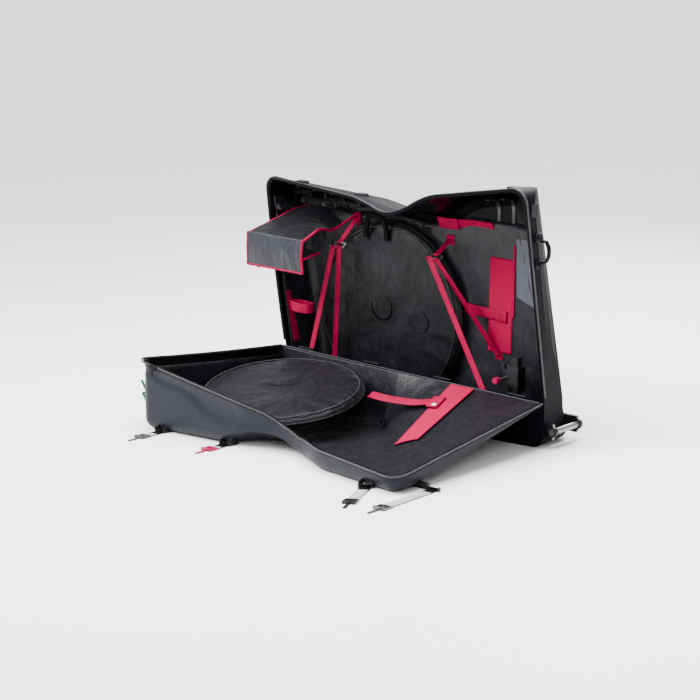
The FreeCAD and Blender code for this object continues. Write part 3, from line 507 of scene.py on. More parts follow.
def upper_corners(s):
    return [(x + draft * s, z - UPPER_DROP * s, radius) for x, z, radius, draft in UPPER]


def base_corners(y):
    s = max(0, y - HINGE_Y) / DEPTH
    left = (-HALF + LEAN_LEFT * HINGE_Z) / (1 + LEAN_LEFT * TAN) + FOOT_DRAFT * s
    right = (HALF + LEAN_RIGHT * HINGE_Z) / (1 + LEAN_RIGHT * TAN) - FOOT_DRAFT * s
    return [(left, floor_z(left), 55), (right, floor_z(right), 55)] + upper_corners(s)


LID_CORNERS = [(-HALF, HINGE_Z + LID_FOOT, 5), (HALF, HINGE_Z + LID_FOOT, 5)] + upper_corners(0)
OUTLINE_COUNTS = [46, 26, 30, 14, 20, 34, 26]


def triples(corners):
    """Each corner with the ones before and after it, and its radius."""
    spots = [np.array(c[:2]) for c in corners]
    for i, corner in enumerate(corners):
        yield spots[i - 1], spots[i], spots[(i + 1) % len(spots)], corner[2]


def inset_corners(corners, inset):
    moved = []
    for before, corner, after, radius in triples(corners):
        into, onward = unit(corner - before), unit(after - corner)
        turn = into[0] * onward[1] - into[1] * onward[0]
        spot = corner + np.array([-into[1] - onward[1], into[0] + onward[0]]) * (inset / (1 + into @ onward))
        moved.append((spot[0], spot[1], max(2, radius - copysign(inset, turn))))
    return moved


def outline(corners, inset, counts, arcs=10):
    """Points round the outline: counts[i] on the side after corner i, arcs on each corner."""
    ends = []
    for before, corner, after, radius in triples(inset_corners(corners, inset)):
        a, b = unit(before - corner), unit(after - corner)
        half = acos(max(-1, min(1, a @ b))) / 2
        reach = radius / tan(half)
        centre = corner + unit(a + b) * (radius / sin(half))
        ends.append((corner + a * reach, centre, corner + b * reach, radius))
    points = []
    for i, (start, centre, end, radius) in enumerate(ends):
        first = atan2(*(start - centre)[::-1])
        turn = (atan2(*(end - centre)[::-1]) - first + pi) % (2 * pi) - pi
        for k in range(arcs):
            angle = first + turn * k / arcs
            points.append(centre + radius * np.array([cos(angle), sin(angle)]))
        following = ends[(i + 1) % len(ends)][0]
        points += [end + (following - end) * k / counts[i] for k in range(counts[i])]
    return np.array(points)


# The parting between the halves: its slope along X
TWIST_X = (-750, -225, -130, -40, 30, 130, 750)
TWIST = (0.059, -0.068, -0.103, -0.165, -0.192, -0.163, -0.143)


def twist(x):
    """Slope of the parting at x, eased over its corners."""
    near = (-24, -12, 0, 12, 24)
    return sum(np.interp(np.asarray(x, float) + d, TWIST_X, TWIST) for d in near) / len(near)


def parting(x, z):
    return HINGE_Y + twist(x) * np.maximum(0, np.asarray(z) - HINGE_Z)


# The slanted, bowed right end of the base
END_SHARES = (-0.2, 0, 0.12, 0.28, 0.78, 0.92, 1, 1.2)
END_BOW, END_START, END_SETBACK, END_TAPER = 46, 45, 60, 0.26


def end_points(z, inset):
    """The right end at height z: x and y from beside the rim to the back."""
    end_x = HALF - LEAN_RIGHT * (z - HINGE_Z)
    start = np.array((end_x, HINGE_Y + TWIST[-1] * max(0, z - HINGE_Z) + END_START))
    along = np.array((end_x - END_SETBACK - END_TAPER * z, BACK)) - start
    out = unit((along[1], -along[0]))
    bows = [END_BOW * 4 * max(0, t * (1 - t)) for t in END_SHARES]
    return np.array([start + along * t + out * (bow - inset) for t, bow in zip(END_SHARES, bows)])


def end_limit(y, z, inset):
    """Largest x inside the slanted end, for each pair of depth and height."""
    out = np.empty(np.shape(y))
    for index in np.ndindex(out.shape):
        line = end_points(float(z[index]), inset)
        out[index] = np.interp(y[index], line[:, 1], line[:, 0], left=line[0, 0])
    return out


# The lid's face: a plane, a slope by the hinge and a valley over the waist
VALLEY_X, VALLEY_RADIUS, VALLEY_RISE = -120, 290, 56
VALLEY_PITCH = radians(26)
VALLEY_FROM_HINGE = 553
SLOPE_LIFT = 14
KNEE_START, KNEE_LEFT, KNEE_RIGHT = -60, 45, 716
CREASE_X = (-760, -654, -588, -527, -477, -438, -405, -347, -284, -210, -150)
CREASE_Z = (225, 205, 182, 172, 161, 138, 111, 88, 77, 84, 100)
CREASE_DEPTH = 7


def front(x):
    return HINGE_Y - HINGE_Z + x * TAN


def knee(x):
    """How far from the hinge the slope reaches the face."""
    share = np.maximum(0, x - KNEE_START) / (HALF - KNEE_START)
    return KNEE_LEFT + (KNEE_RIGHT - KNEE_LEFT) * share


def soft_max(a, b, k):
    return 0.5 * (a + b + np.sqrt((a - b) ** 2 + k * k))


def lid_floor(x, y, z, inset, k=8):
    """Hold closed-lid points inside the slope by the hinge and the valley over the waist."""
    share = (z - (HINGE_Z + LID_FOOT + inset)) / (knee(x) - LID_FOOT)
    slope = HINGE_Y - SLOPE_LIFT + inset + share * (front(x) - (HINGE_Y - SLOPE_LIFT))
    radius = VALLEY_RADIUS + inset
    aside = np.minimum(np.abs(x - VALLEY_X), radius)
    bed = front(VALLEY_X) + VALLEY_RISE - VALLEY_RADIUS / cos(VALLEY_PITCH)
    bed = bed + (z - HINGE_Z - VALLEY_FROM_HINGE) * tan(VALLEY_PITCH)
    valley = bed + np.sqrt(radius ** 2 - aside ** 2) / cos(VALLEY_PITCH)
    return soft_max(soft_max(y, slope, k), valley, k)


def lid_rings(inset, gap, walls=18, rounds=9, face=26):
    """Rings of closed-lid points from the rim, down the wall, to a spine in the face."""
    radius = EDGE - inset
    edge = outline(LID_CORNERS, inset, OUTLINE_COUNTS)
    x, z = edge[:, 0], edge[:, 1]
    top = parting(x, z) - gap
    low = np.minimum(front(x) + inset + radius, top)
    rings = [np.stack([x, top + (low - top) * t, z], 1) for t in np.linspace(0, 1, walls)]
    for k in range(1, rounds + 1):
        a = pi / 2 * k / rounds
        line = outline(LID_CORNERS, inset + radius * (1 - cos(a)), OUTLINE_COUNTS)
        y = front(line[:, 0]) + inset + radius * (1 - sin(a))
        rings.append(np.stack([line[:, 0], np.minimum(y, top), line[:, 1]], 1))
    last = rings[-1]
    left, length, knots = -400, 760, 12
    share = np.round((np.clip(last[:, 0], left, left + length) - left) / length * knots) / knots
    spine = np.stack([share * length + left, last[:, 1], HINGE_Z + 300 + 50 * share], 1)
    for k in range(1, face + 1):
        ring = last + (spine - last) * (k / face) ** 0.85
        ring[:, 1] = front(ring[:, 0]) + inset
        rings.append(ring)
    rings = np.array(rings)
    rings[..., 1] = lid_floor(rings[..., 0], rings[..., 1], rings[..., 2], inset)
    return rings


def sculpted(rings, below=0):
    """Open-lid points, with the front wall drawn in between the rim and the crease."""
    opened = swing(rings)
    row = to_row(opened).reshape(rings.shape) * 1000
    crease = np.interp(row[..., 0], CREASE_X, CREASE_Z)
    above = np.clip((row[..., 2] - crease) / 20 + 0.6, 0, 1)
    above = above * above * (3 - 2 * above)
    under_rim = ease(row[:1, :, 2] + below - row[..., 2], 10, 35)
    left_part = ease(-row[..., 0], 170, 90)
    on_front = ease(rings[..., 2], HINGE_Z + 470, 60)
    opened[..., 1] += CREASE_DEPTH * above * under_rim * left_part * on_front
    return opened


def lid_shell():
    """The lid's moulding: outer and inner skin, joined along the rim."""
    outer = sculpted(lid_rings(0, 4))
    inner = sculpted(lid_rings(WALL, 4))
    rows, cols = outer.shape[:2]
    faces = grid_faces(rows, cols, True)
    base = rows * cols
    inside = [tuple(reversed([base + i for i in f])) for f in faces]
    rim = [(c, base + c, base + (c + 1) % cols, (c + 1) % cols) for c in range(cols)]
    obj = make("lid_shell_form", to_row([outer, inner]), faces + inside + rim, "lid", "case_shell")
    merge(obj)
    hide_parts("lid_shell")


# Liners; what is sewn on them keeps them flat inside these boxes, in metres
LID_SEWN = [((0.20, -0.46, 0), (0.345, -0.08, 0.3))]
BASE_SEWN = [((0.225, 0.06, 0.25), (0.350, 0.12, 0.66)), ((-0.70, -0.075, 0.20), (-0.50, -0.01, 0.43)),
             ((0.04, 0.06, 0.60), (0.10, 0.12, 0.67)), ((-0.40, 0.06, 0.65), (-0.33, 0.12, 0.72))]
LINER_THICK = 0.0016


def crumple(obj, amount, scale, seed, flat):
    """Push a sheet's points inwards in soft folds, but not under what is sewn on."""
    obj.data.update()
    vertices = obj.data.vertices
    points, normals = np.array([v.co for v in vertices]), np.array([v.normal for v in vertices])
    fold = turbulence(points, scale, seed) * 0.7 + turbulence(points, scale * 2.3, seed + 5) * 0.4
    share = np.ones(len(points))
    for low, high in flat:
        away = np.max(np.maximum(np.array(low) - points, points - np.array(high)), axis=1)
        share = np.minimum(share, ease(away, 0, 0.05))
    points += normals * (np.clip(fold + 0.35, 0, 1.4) * amount * share)[:, None]
    vertices.foreach_set("co", points.ravel())
    obj.data.update()


def face_inwards(obj, centre):
    """Turn an open sheet so that its faces look at a point."""
    faces, centre = obj.data.polygons, Vector(centre)
    total = sum(p.area * (centre - p.center).dot(p.normal) for p in faces)
    if total < 0:
        obj.data.flip_normals()


def liner(name, rings, wrap, body, material, centre, folds, sewn):
    """One sheet over rings of case points, from beside the rim to the middle."""
    faces = grid_faces(len(rings), len(rings[0]), wrap)
    obj = make(name, to_row(rings), faces, body, "liner_cloth", material)
    merge(obj, 0.0006)
    face_inwards(obj, centre)
    crumple(obj, *folds, sewn)
    solidify(obj, LINER_THICK)
    return obj


def lid_liner():
    rings = sculpted(lid_rings(WALL + 1.4, 34, walls=14, rounds=7, face=34), 30)
    middle, folds = (-0.05, -0.42, 0.4), (0.0065, 6, 1.7)
    obj = liner("lid_liner_cloth", rings, True, "lid", "lid_lining", middle, folds, LID_SEWN)
    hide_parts("lid_liner")


def on_line(a, b, axis, value):
    """The point on the line through a and b whose coordinate along an axis has a value."""
    return a + (b - a) * (value - a[axis]) / (b[axis] - a[axis])


def straight(first, last, count):
    """Points from first up to, but without, last."""
    return [first + (last - first) * k / count for k in range(count)]


def bend(first, corner, last, count=8):
    """A rounded corner from first up to, but without, last."""
    shares = [k / count for k in range(count)]
    return [(1 - t) ** 2 * first + 2 * t * (1 - t) * corner + t * t * last for t in shares]


def base_u(y, inset, side=26, foot=60):
    """The liner's path at depth y: down the left end, along the floor, up the right end."""
    moved = inset_corners(base_corners(y), inset)
    left_low, right_low, right_top, left_top = (np.array(moved[i][:2]) for i in (0, 1, 2, 6))
    radius = moved[0][2]
    first, last = on_line(left_low, left_top, 1, LINER_TOP), on_line(right_low, right_top, 1, LINER_TOP)
    down = on_line(left_low, left_top, 1, left_low[1] + radius)
    up = on_line(right_low, right_top, 1, right_low[1] + radius)
    near = on_line(left_low, right_low, 0, left_low[0] + radius)
    far = on_line(left_low, right_low, 0, right_low[0] - radius)
    path = straight(first, down, side) + bend(down, left_low, near) + straight(near, far, foot)
    path += bend(far, right_low, up) + straight(up, last, side) + [last]
    return np.array(path)


def under_top(ring, y, inset):
    """Hold the liner's upper edge below the moulding's top at one depth."""
    gap, end_round = 5, 110
    line = outline(base_corners(y), inset + gap, OUTLINE_COUNTS)
    line = line[line[:, 1] > HINGE_Z + 400]
    line = line[np.argsort(line[:, 0])]
    line = line[(line[:, 0] > line[0, 0] + end_round) & (line[:, 0] < line[-1, 0] - end_round)]
    ring[:, 2] = np.minimum(ring[:, 2], np.interp(ring[:, 0], line[:, 0], line[:, 1]))
    return ring


def base_liner():
    inset = WALL + 2.6
    radius = EDGE - inset
    probe = base_u(HINGE_Y, inset)
    near = parting(probe[:, 0], probe[:, 1]) + 26
    first, slices = HINGE_Y - 120, 12
    stack = np.array([base_u(y, inset) for y in np.linspace(first, BACK, slices)])
    columns = np.arange(len(probe))
    rings = []
    for t in np.linspace(0, 1, 16):
        y = near + (BACK - EDGE - near) * t
        share = np.clip((y - first) / (BACK - first) * (slices - 1), 0, slices - 1.001)
        low = share.astype(int)
        part = (share - low)[:, None]
        line = stack[low, columns] * (1 - part) + stack[low + 1, columns] * part
        rings.append(np.stack([line[:, 0], y, line[:, 1]], 1))
    for k in range(1, 8):
        a = pi / 2 * k / 7
        y = BACK - inset - radius * (1 - sin(a))
        deep = inset + radius * (1 - cos(a))
        line = base_u(y, deep)
        rings.append(under_top(np.stack([line[:, 0], np.full(len(line), y), line[:, 1]], 1), y, deep))
    last = rings[-1]
    focus = np.array([-60, BACK - inset, LINER_TOP])
    rings += [under_top(last + (focus - last) * k / 40, BACK - inset, EDGE) for k in range(1, 40)]
    rings = np.array(rings)
    limit = end_limit(rings[..., 1], rings[..., 2], inset)
    rings[..., 0] = -soft_max(-rings[..., 0], -limit, 5)
    middle, folds = (-0.05, -0.3, 0.42), (0.0055, 6.5, 4.1)
    obj = liner("base_liner_cloth", rings, False, "base", None, middle, folds, BASE_SEWN)
    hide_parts("base_liner")


# Round bags: padded discs with a piped edge
def bag_rise(u, v, s, a, seed):
    """Folds of a bag's face at a share s of its radius and an angle a."""
    swirl = ripples(u / 130 + seed, v / 130, seed)
    pleat = sin(a * 23 + 3 * swirl) * ease(s, 0.62, 0.3) * ease(-s, -1, 0.05)
    spoke = noise.noise(Vector((cos(a) * 2.6 + seed, sin(a) * 2.6, s * 0.8)))
    fold = max(0, 1 - abs(spoke) * 5) ** 1.5 * ease(s, 0.38, 0.3) * ease(-s, -0.97, 0.1)
    return 5 * swirl * (1 - s ** 6) + 1.5 * pleat + 2 * fold


def bag(name, place, half_u, half_v, thick, body, node, seed, dish, material):
    """place(u, v, n) gives the case point of a bag point: u and v across it, n out of its face."""
    radial, around = 44, 132
    shares = [i / radial for i in range(radial + 1)]
    verts = []
    for face, order in ((1, shares), (-1, shares[::-1])):
        for s in order:
            for a in circle(around):
                u, v = half_u * s * cos(a), half_v * s * sin(a)
                rise = thick / 2 * (1 - s ** 9) ** 0.6
                if face > 0:
                    rise -= dish * exp(-(s / 0.34) ** 2)
                if face > 0 and s > 0:
                    rise += 1 + bag_rise(u, v, s, a, seed)
                verts.append(place(u, v, max(0.5, rise) * face))
    faces = grid_faces(2 * len(shares), around, True)
    obj = make(name, to_row(verts), faces, body, "bag_cloth", material)
    merge(obj)
    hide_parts(node)
    piping = bag_ring(place, 0, 0, half_u * 0.995, half_v * 0.995, 0, around)
    tube(name + "_piping", piping, 3.4, "bag_cloth", body=body, closed=True)
    seam = bag_ring(place, 0, 0, half_u * 0.945, half_v * 0.945, thick / 2 * 0.78, around)
    tube(name + "_seam", seam, 2.2, "zip_tape", body=body, closed=True)


def bag_ring(place, u, v, half_u, half_v, n, count=64):
    """A ring of case points on a bag, round u and v."""
    return [place(u + half_u * cos(a), v + half_v * sin(a), n) for a in circle(count)]


BAG_X, BAG_RADIUS, BAG_THICK = -210, 336, 58
BAG_BACK, BAG_LIFT = 87.4, 10
BAG_Z = (floor_z(BAG_X) + LINER_FACE + BAG_RADIUS) / COS + BAG_LIFT
BAG_Y = BAG_BACK - BAG_THICK / 2
LID_BAG = (-322, HINGE_Y - 297, 107.8)
LID_BAG_LEAN = radians(10)


def stand_place(u, v, n):
    return (BAG_X + u, BAG_Y - n, BAG_Z + v)


def lid_place(u, v, n):
    x, y, z = LID_BAG
    c, s = cos(LID_BAG_LEAN), sin(LID_BAG_LEAN)
    return (x + u, y + v * c - n * s, z + v * s + n * c)


def bags():
    radius, thick = BAG_RADIUS - 3, BAG_THICK - 4
    bag("standing_bag", stand_place, radius, radius, thick, "base", "base_wheel_bag", 2.3, 4, "bag_cloth")
    bag("lid_bag", lid_place, 311, 270, BAG_THICK, "lid", "lid_wheel_bag", 7.9, 7, "lid_bag_cloth")
    for index, (u, v, r) in enumerate(((-18, 20, 46), (162, -8, 40))):
        hub = bag_ring(stand_place, u, v, r, r, 26.5)
        tube("standing_bag_hub_%d" % index, hub, 3, "bag_cloth", material="rim_rubber", closed=True)
    hub = bag_ring(lid_place, -60, 60, 92, 62, 25)
    tube("lid_bag_hub", hub, 2.6, "bag_cloth", body="lid", material="rim_rubber", closed=True)


def bag_handle():
    """A carrying loop over the top of the standing bag."""
    top, middle = BAG_Z + BAG_RADIUS, -252
    half = [(50, 25, -66), (46, 22, -26), (34, 20, 8)]
    loop = [(middle - x, y, top + z) for x, y, z in half] + [(middle, 20, top + 18)]
    loop += [(middle + x, y, top + z) for x, y, z in reversed(half)]
    piece = ribbon("bag_handle", loop, (0, 1, 0.15), 6, 17, 60, "bag_cloth", "black_webbing")
    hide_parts("base_bag_handle")


# Padded pouch at the top left: stiff panels with bound edges
POUCH_LEFT, POUCH_RIGHT, POUCH_FRONT = -656, -381, -224
POUCH_TOP, POUCH_LOW, POUCH_BACK = 625, 505, 82
POUCH_COLS = 40
ROOF_Y = (-226, -150, -105, -50, 0, 40, 62, 82)
ROOF_X = (-381, -402, -420, -438, -445, -444, -437, -392)
ROOF_Z = (622, 640, 646, 640, 630, 638, 652, 692)


def pouch_front(t, s):
    swell = sin(pi * t)
    x = POUCH_LEFT + (POUCH_RIGHT - POUCH_LEFT) * s + 6 * swell * (0.5 - s)
    crease = ripples(x / 34, t * 1.3, 3.3) * sin(pi * min(1, t * 1.4 + 0.08))
    return (x, POUCH_FRONT - 4 * swell + 3.4 * crease, POUCH_TOP + (POUCH_LOW - POUCH_TOP) * t)


def pouch_roof(t, s):
    """From the front panel to the back: straight at the left, wavy at the free right edge."""
    y = ROOF_Y[0] + (POUCH_BACK - ROOF_Y[0]) * t
    x_right, z_right = np.interp(y, ROOF_Y, ROOF_X), np.interp(y, ROOF_Y, ROOF_Z)
    x_left, z_left = POUCH_LEFT + 34 * ease(y, 40, 45), 622 + 72 * t
    x = x_left + (x_right - x_left) * s
    z = z_left + (z_right - z_left) * s ** 2.2 + 2.4 * ripples(x / 60, y / 60, 8.8)
    return (x, y, z - 4)


def pouch_shelf(t, s):
    left, right = POUCH_LEFT + 4, POUCH_RIGHT - 3 - 60 * t
    return (left + (right - left) * s, -218 + 152 * t, 551 + 2 * sin(s * 7 + t * 3))


def pouch_edges(front_grid, roof, shelf):
    """Lines of the red bindings: name, points, radius and how many points the tube has."""
    rows, cols = len(front_grid), POUCH_COLS
    left_side = [front_grid[r][0] for r in [0] + list(range(2, rows, 4))]
    low_side = [front_grid[-1][c] for c in list(range(0, cols, 4)) + [cols - 1]]
    right_side = [front_grid[r][-1] for r in list(range(rows - 3, -1, -4)) + [0]]
    flap = [(-390, 84, 688), (-383, 80, 668), (-388, 78, 640), (-392, 78, 622)]
    return (("front", left_side + low_side + right_side, 5.2, 150),
            ("roof", [line[-1] for line in roof[::3] + roof[-1:]], 5, 90),
            ("flap", flap, 4, 30),
            ("shelf", [line[-1] for line in shelf], 4, 40),
            ("left", [line[0] for line in roof[::6]], 4.4, 60))


def pouch():
    front_grid, roof = grid_of(34, POUCH_COLS, pouch_front), grid_of(44, POUCH_COLS, pouch_roof)
    shelf = grid_of(14, 20, pouch_shelf)
    face = sheet_grid("pouch_front", front_grid, "pouch_cloth", 0.007, "pouch_face")
    padded = [face, sheet_grid("pouch_roof", roof, "pouch_cloth", 0.006),
              sheet_grid("pouch_shelf", shelf, "pouch_cloth", 0.006)]
    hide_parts("handlebar_pouch")
    pieces = list(padded)
    for name, points, radius, count in pouch_edges(front_grid, roof, shelf):
        pieces.append(tube("pouch_binding_" + name, points, radius, "red_webbing", count))
    pull = [(-590, -226, 508), (-597, -229, 497), (-604, -229, 501)]
    pieces.append(ribbon("pouch_pull", pull, (0, 1, 0), 5, 2, 14, "zip_tape", "black_webbing"))
    for piece in pieces:
        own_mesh(piece)


# Tie-down straps: two rings on wall loops, and from each a strap to the front and one to the rear
ALONG_X, ALONG_Y, ALONG_Z = (1, 0, 0), (0, 1, 0), (0, 0, 1)
SEWN_Y, PATCH_Y = 82.4, 85.6
TIE_WIDTH, TIE_THICK = 23, 1.9
PATCH_THICK = 2.2
RINGS = {"left": ((-398, -20, 580), 668), "right": ((40, 0, 592), 640)}
# Each strap's foot, the direction out of its wall and the patch's length direction
FEET = {
    "front_left": ((-478, -81.7, 164), ALONG_Y, ALONG_Z),
    "rear_left": ((-441, 2, -6), ALONG_Z, ALONG_Y),
    "front_right": ((338, -81.7, 164), ALONG_Y, ALONG_Z),
    "rear_right": ((268, SEWN_Y, 258), (0, -1, 0), ALONG_Z),
}


def tie_down(place, start):
    """One strap round its ring's bar and down to its foot, with the patch it is sewn on."""
    foot, out, up = (np.array(v, float) for v in FEET[place])
    run = unit(foot - start)
    turn = np.cross(ALONG_X, run)
    steps = ((3, 4), (-4.4, 0), (3, -4), (16, -2))
    path = [start + run * a + turn * b for a, b in steps] + [(start + foot) / 2, foot]
    strap = ribbon("load_strap_" + place, path, ALONG_X, TIE_WIDTH, TIE_THICK, 90)
    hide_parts("frame_strap_" + place)
    base = foot - out * 4.2
    ribbon("strap_patch_" + place, [base - up * 13, base + up * 13], ALONG_X, 30, PATCH_THICK, 12)


def load_straps():
    bar, shift = 10.8, 15.2
    for side, (ring, top) in RINGS.items():
        wall = np.array((ring[0], SEWN_Y, top))
        along = unit(wall - ring)
        normal = np.cross(ALONG_X, along)
        upper, lower = ring + along * bar, ring - along * bar
        steps = ((0, 4), (-4.2, 0), (0, -4), (8, -2))
        loop = [upper + along * a + normal * b for a, b in steps] + [wall]
        piece = ribbon("hanger_" + side, loop, ALONG_X, TIE_WIDTH, TIE_THICK, 60)
        patch = [(ring[0], PATCH_Y, top - 17), (ring[0], PATCH_Y, top + 17)]
        ribbon("hanger_patch_" + side, patch, ALONG_X, 36, PATCH_THICK, 12)
        if side == "left":
            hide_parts("strap_hangers")
        tie_down("front_" + side, lower - (shift, 0, 0))
        tie_down("rear_" + side, lower + (shift, 0, 0))


def small_straps():
    """The cross strap on the back, the upper strap with its pad, the strap on the left end."""
    cross = [(112, 82, 410), (150, 79, 408), (210, 80, 405), (296, 83.2, 402)]
    piece = ribbon("cross_strap", cross, ALONG_Z, 36, 2.2, 40, ripple=1.2)
    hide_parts("panel_strap")
    tip = [(262, 80, 403.5), (299, 80.8, 401.5)]
    ribbon("cross_strap_tip", tip, ALONG_Z, 40, 2.6, 12)
    upper = [(-6, 79, 700), (30, 77.5, 700), (60, 77.5, 702), (84, 79, 705),
             (140, 84, 708), (230, 84.6, 708)]
    leaning = (0, -0.42, 1)
    piece = ribbon("upper_strap", upper, leaning, 32, 2.4, 50, ripple=1)
    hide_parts("seatpost_strap")
    pad = [(-6, 75.5, 699), (40, 73.5, 699.5), (82, 75.5, 701)]
    ribbon("upper_strap_pad", pad, leaning, 44, 4.5, 24)
    strip = [(-HALF - LEAN_LEFT * (z - HINGE_Z) + 11.5, -42, z) for z in (196, 250, 310, 384)]
    piece = ribbon("fork_strap_strip", strip, ALONG_Y, 32, 2.2, 40)
    wall = -HALF - LEAN_LEFT * (330 - HINGE_Z)
    loop = [(12, -52, 332), (60, -66, 330), (108, -60, 329), (117, -42, 329),
            (108, -24, 329), (60, -18, 330), (12, -34, 332)]
    ribbon("fork_strap_loop", [(wall + x, y, z) for x, y, z in loop], ALONG_Z, 36, 2.2, 70)
    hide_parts("fork_strap")


# Hook panels: one on the base's back, one on the lid's slope
PANEL_LEFT, PANEL_WIDTH, PANEL_THICK = 219, 102, 0.0018


def slope_depth(x, h):
    """Closed-lid depth of the liner's slope at x, a height h from the hinge."""
    return lid_floor(x, front(x) + LINER_FACE, HINGE_Z + h, LINER_FACE, 0.5)


def back_panel(t, s):
    z = 271 + 333 * t
    wave = noise.noise(Vector((13 * s / 3, z / 60, 1)))
    return (PANEL_LEFT + PANEL_WIDTH * s, 85.9 + 0.7 * wave, z)


def lid_panel(t, s):
    x, h = PANEL_LEFT + PANEL_WIDTH * s, 22 + 296 * t
    return swing((x, slope_depth(x, h) + 4.6, HINGE_Z + h))


def panels():
    rows = grid_of(46, 14, back_panel)
    piece = sheet_grid("back_panel", rows, "red_webbing", PANEL_THICK, "red_panel")
    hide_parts("back_hook_panel")
    edge = [(323.5, 84.6, 400), (323.5, 84.6, 655)]
    ribbon("back_panel_edge", edge, ALONG_X, 9, 2, 40)
    rows = grid_of(46, 14, lid_panel)
    piece = sheet_grid("lid_panel", rows, "red_webbing", PANEL_THICK, "red_panel", "lid")
    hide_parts("lid_hook_panel")


def lid_strap():
    """The strap from the lid's bag to the panel, its pad and the blank label on it."""
    h, pad_x = 122, 258
    z_pad = HINGE_Z + slope_depth(pad_x, h) - HINGE_Y + 10
    fall = (slope_depth(pad_x, h - 10) - slope_depth(pad_x, h + 10)) / 20
    y = HINGE_Y - h
    line = [(-54, y - 10, 122), (30, y - 8, 121), (140, y - 3, 128), (206, y, z_pad - 5.5),
            (256, y, z_pad)]
    piece = ribbon("lid_strap", line, (0, 1, fall * 0.9), 36, 2.2, 60, body="lid", ripple=0.8)
    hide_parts("lid_wheel_strap")
    pad = [(212, y, z_pad - 3), (236, y, z_pad - 1.2), (258, y, z_pad + 1.6)]
    ribbon("lid_strap_pad", pad, (0, 1, fall), 60, 7, 24, body="lid")
    side = z_pad - fall * 20
    label = [(236, y - 20, side + 4.8), (252, y - 20, side + 6.2)]
    ribbon("lid_strap_label", label, (0, 1, fall), 12, 1.2, 8, "white_webbing", "white_label", "lid")


# Zipped pocket on the slanted right end
POCKET_LOW, POCKET_ZIP, POCKET_HIGH = 238, 402, 652
POCKET_ROWS, POCKET_COLS, POCKET_SPLIT = 44, 18, 17


def pocket_point(share, z, off):
    """A point on the flat of the slanted end: share along it, off inwards from the outer skin."""
    near, deep = end_points(z, 0)[3:5]
    along = deep - near
    spot = near + along * share - unit((along[1], -along[0])) * off
    return (spot[0], spot[1], z)


def pocket_cloth(t, s):
    z, share = POCKET_LOW + (POCKET_HIGH - POCKET_LOW) * t, 0.02 + 0.93 * s
    full = sin(pi * min(1, abs(z - POCKET_ZIP) / 160))
    bulge = 3.2 * sin(pi * s) * full
    return pocket_point(share, z, 11 + bulge + 1.5 * ripples(share * 4, z / 60, 5))


def end_pocket():
    rows = grid_of(POCKET_ROWS, POCKET_COLS, pocket_cloth)
    low = sheet_grid("pocket_low", rows[:POCKET_SPLIT], "pocket_cloth", 0.0022, "liner_cloth")
    high = sheet_grid("pocket_high", rows[POCKET_SPLIT:], "pocket_cloth", 0.0022)
    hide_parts("end_pocket")
    zip_line = [pocket_point(t, POCKET_ZIP, 13) for t in np.linspace(0.02, 0.95, 8)]
    ribbon("pocket_zip", zip_line, ALONG_Z, 9, 2, 30, "zip_tape")


def ribs():
    """Bare ribs of the shell above the liner, running up the back and under the top."""
    top_x, top_z = zip(*[corner[:2] for corner in reversed(UPPER)])
    for index, x in enumerate((-640, -560, -470, -395, 250, 312)):
        high = np.interp(x, top_x, top_z) - 42
        path = [(x, 90, LINER_TOP - 18), (x, 90, high - 46), (x, 80, high - 16),
                (x, 56, high - 3), (x, 20, high)]
        ribbon("shell_rib_%d" % index, path, ALONG_X, 17, 7, 36, "case_shell", "rib_plastic")


# Rounded rims of both halves, which the zips are sewn to
RIM_COUNTS = [40, 40, 60, 24, 30, 60, 40]
RIM_GAP, RIM_HALF, RIM_REACH, RIM_SUNK = 7.5, 6, 6.6, 2


def squared(value):
    """A sine or cosine swollen towards a square."""
    return copysign(abs(value) ** 0.7, value)


def rim_bead(name, corners, body, node, sign):
    """A rounded bead beside the parting: sign +1 on the base, -1 on the lid."""
    edge = outline(corners, 0, RIM_COUNTS, 14)
    high = edge[:, 1] > HINGE_Z + 13
    start = int(np.argmax(high & ~np.roll(high, 1)))
    edge = np.roll(edge, -start, 0)[:int(high.sum())]
    tangent = unit(np.gradient(edge, axis=0))
    verts, sides = [], 16
    for (x, z), (tx, tz) in zip(edge, tangent):
        y = float(parting(x, z)) + sign * RIM_GAP
        s = max(0, y - HINGE_Y) / DEPTH if sign > 0 else 0
        draft = UPPER[-1][3] * s if x < -700 else 0
        for a in circle(sides):
            reach = RIM_REACH * squared(cos(a)) - RIM_SUNK - draft
            verts.append((x + tz * reach, y + sign * RIM_HALF * squared(sin(a)), z - tx * reach))
    verts = np.array(verts) if sign > 0 else swing(np.array(verts))
    obj = make(name, to_row(verts), capped_faces(len(edge), sides), body, "rim_rubber")
    merge(obj, 0.00005)
    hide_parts(node)


def rims():
    rim_bead("base_rim_bead", base_corners(HINGE_Y), "base", "base_rim_band", 1)
    rim_bead("lid_rim_bead", LID_CORNERS, "lid", "lid_rim_band", -1)


# Closing straps: the direction each runs in, its upper side and its length
CLOSURES = {
    "front_left": ((0, -1, 0), ALONG_Z, 74),
    "front_middle": ((0, -1, 0), ALONG_Z, 62),
    "front_right": ((0.42, -0.907, 0), ALONG_Z, 150),
    "right_end": ((0, -1, 0), ALONG_Z, 230),
    "left_end": ((-0.55, 0, 0.835), (-0.835, 0, -0.55), 66),
}


def closing_straps():
    joints = {j["name"]: j for j in frame["joints"]}
    for name, (along, up, length) in CLOSURES.items():
        u, n = unit(along), unit(up)
        root = np.array(joints["closure_%s_hinge" % name]["pos_m"]) * 1000
        steps = ((7, 3.3), (-0.4, 3.4), (-3.4, 0), (-0.2, -3.3), (12, -3.4), (length / 2, -3.3),
                 (length - 0.4, -3.3))
        path = [root + u * a + n * b for a, b in steps]
        strap = ribbon("closing_webbing_" + name, path, np.cross(n, u), 37.4, 1.9, 80, "white_webbing",
                       body="closure_" + name, case=False)
        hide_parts("closure_strap_" + name)


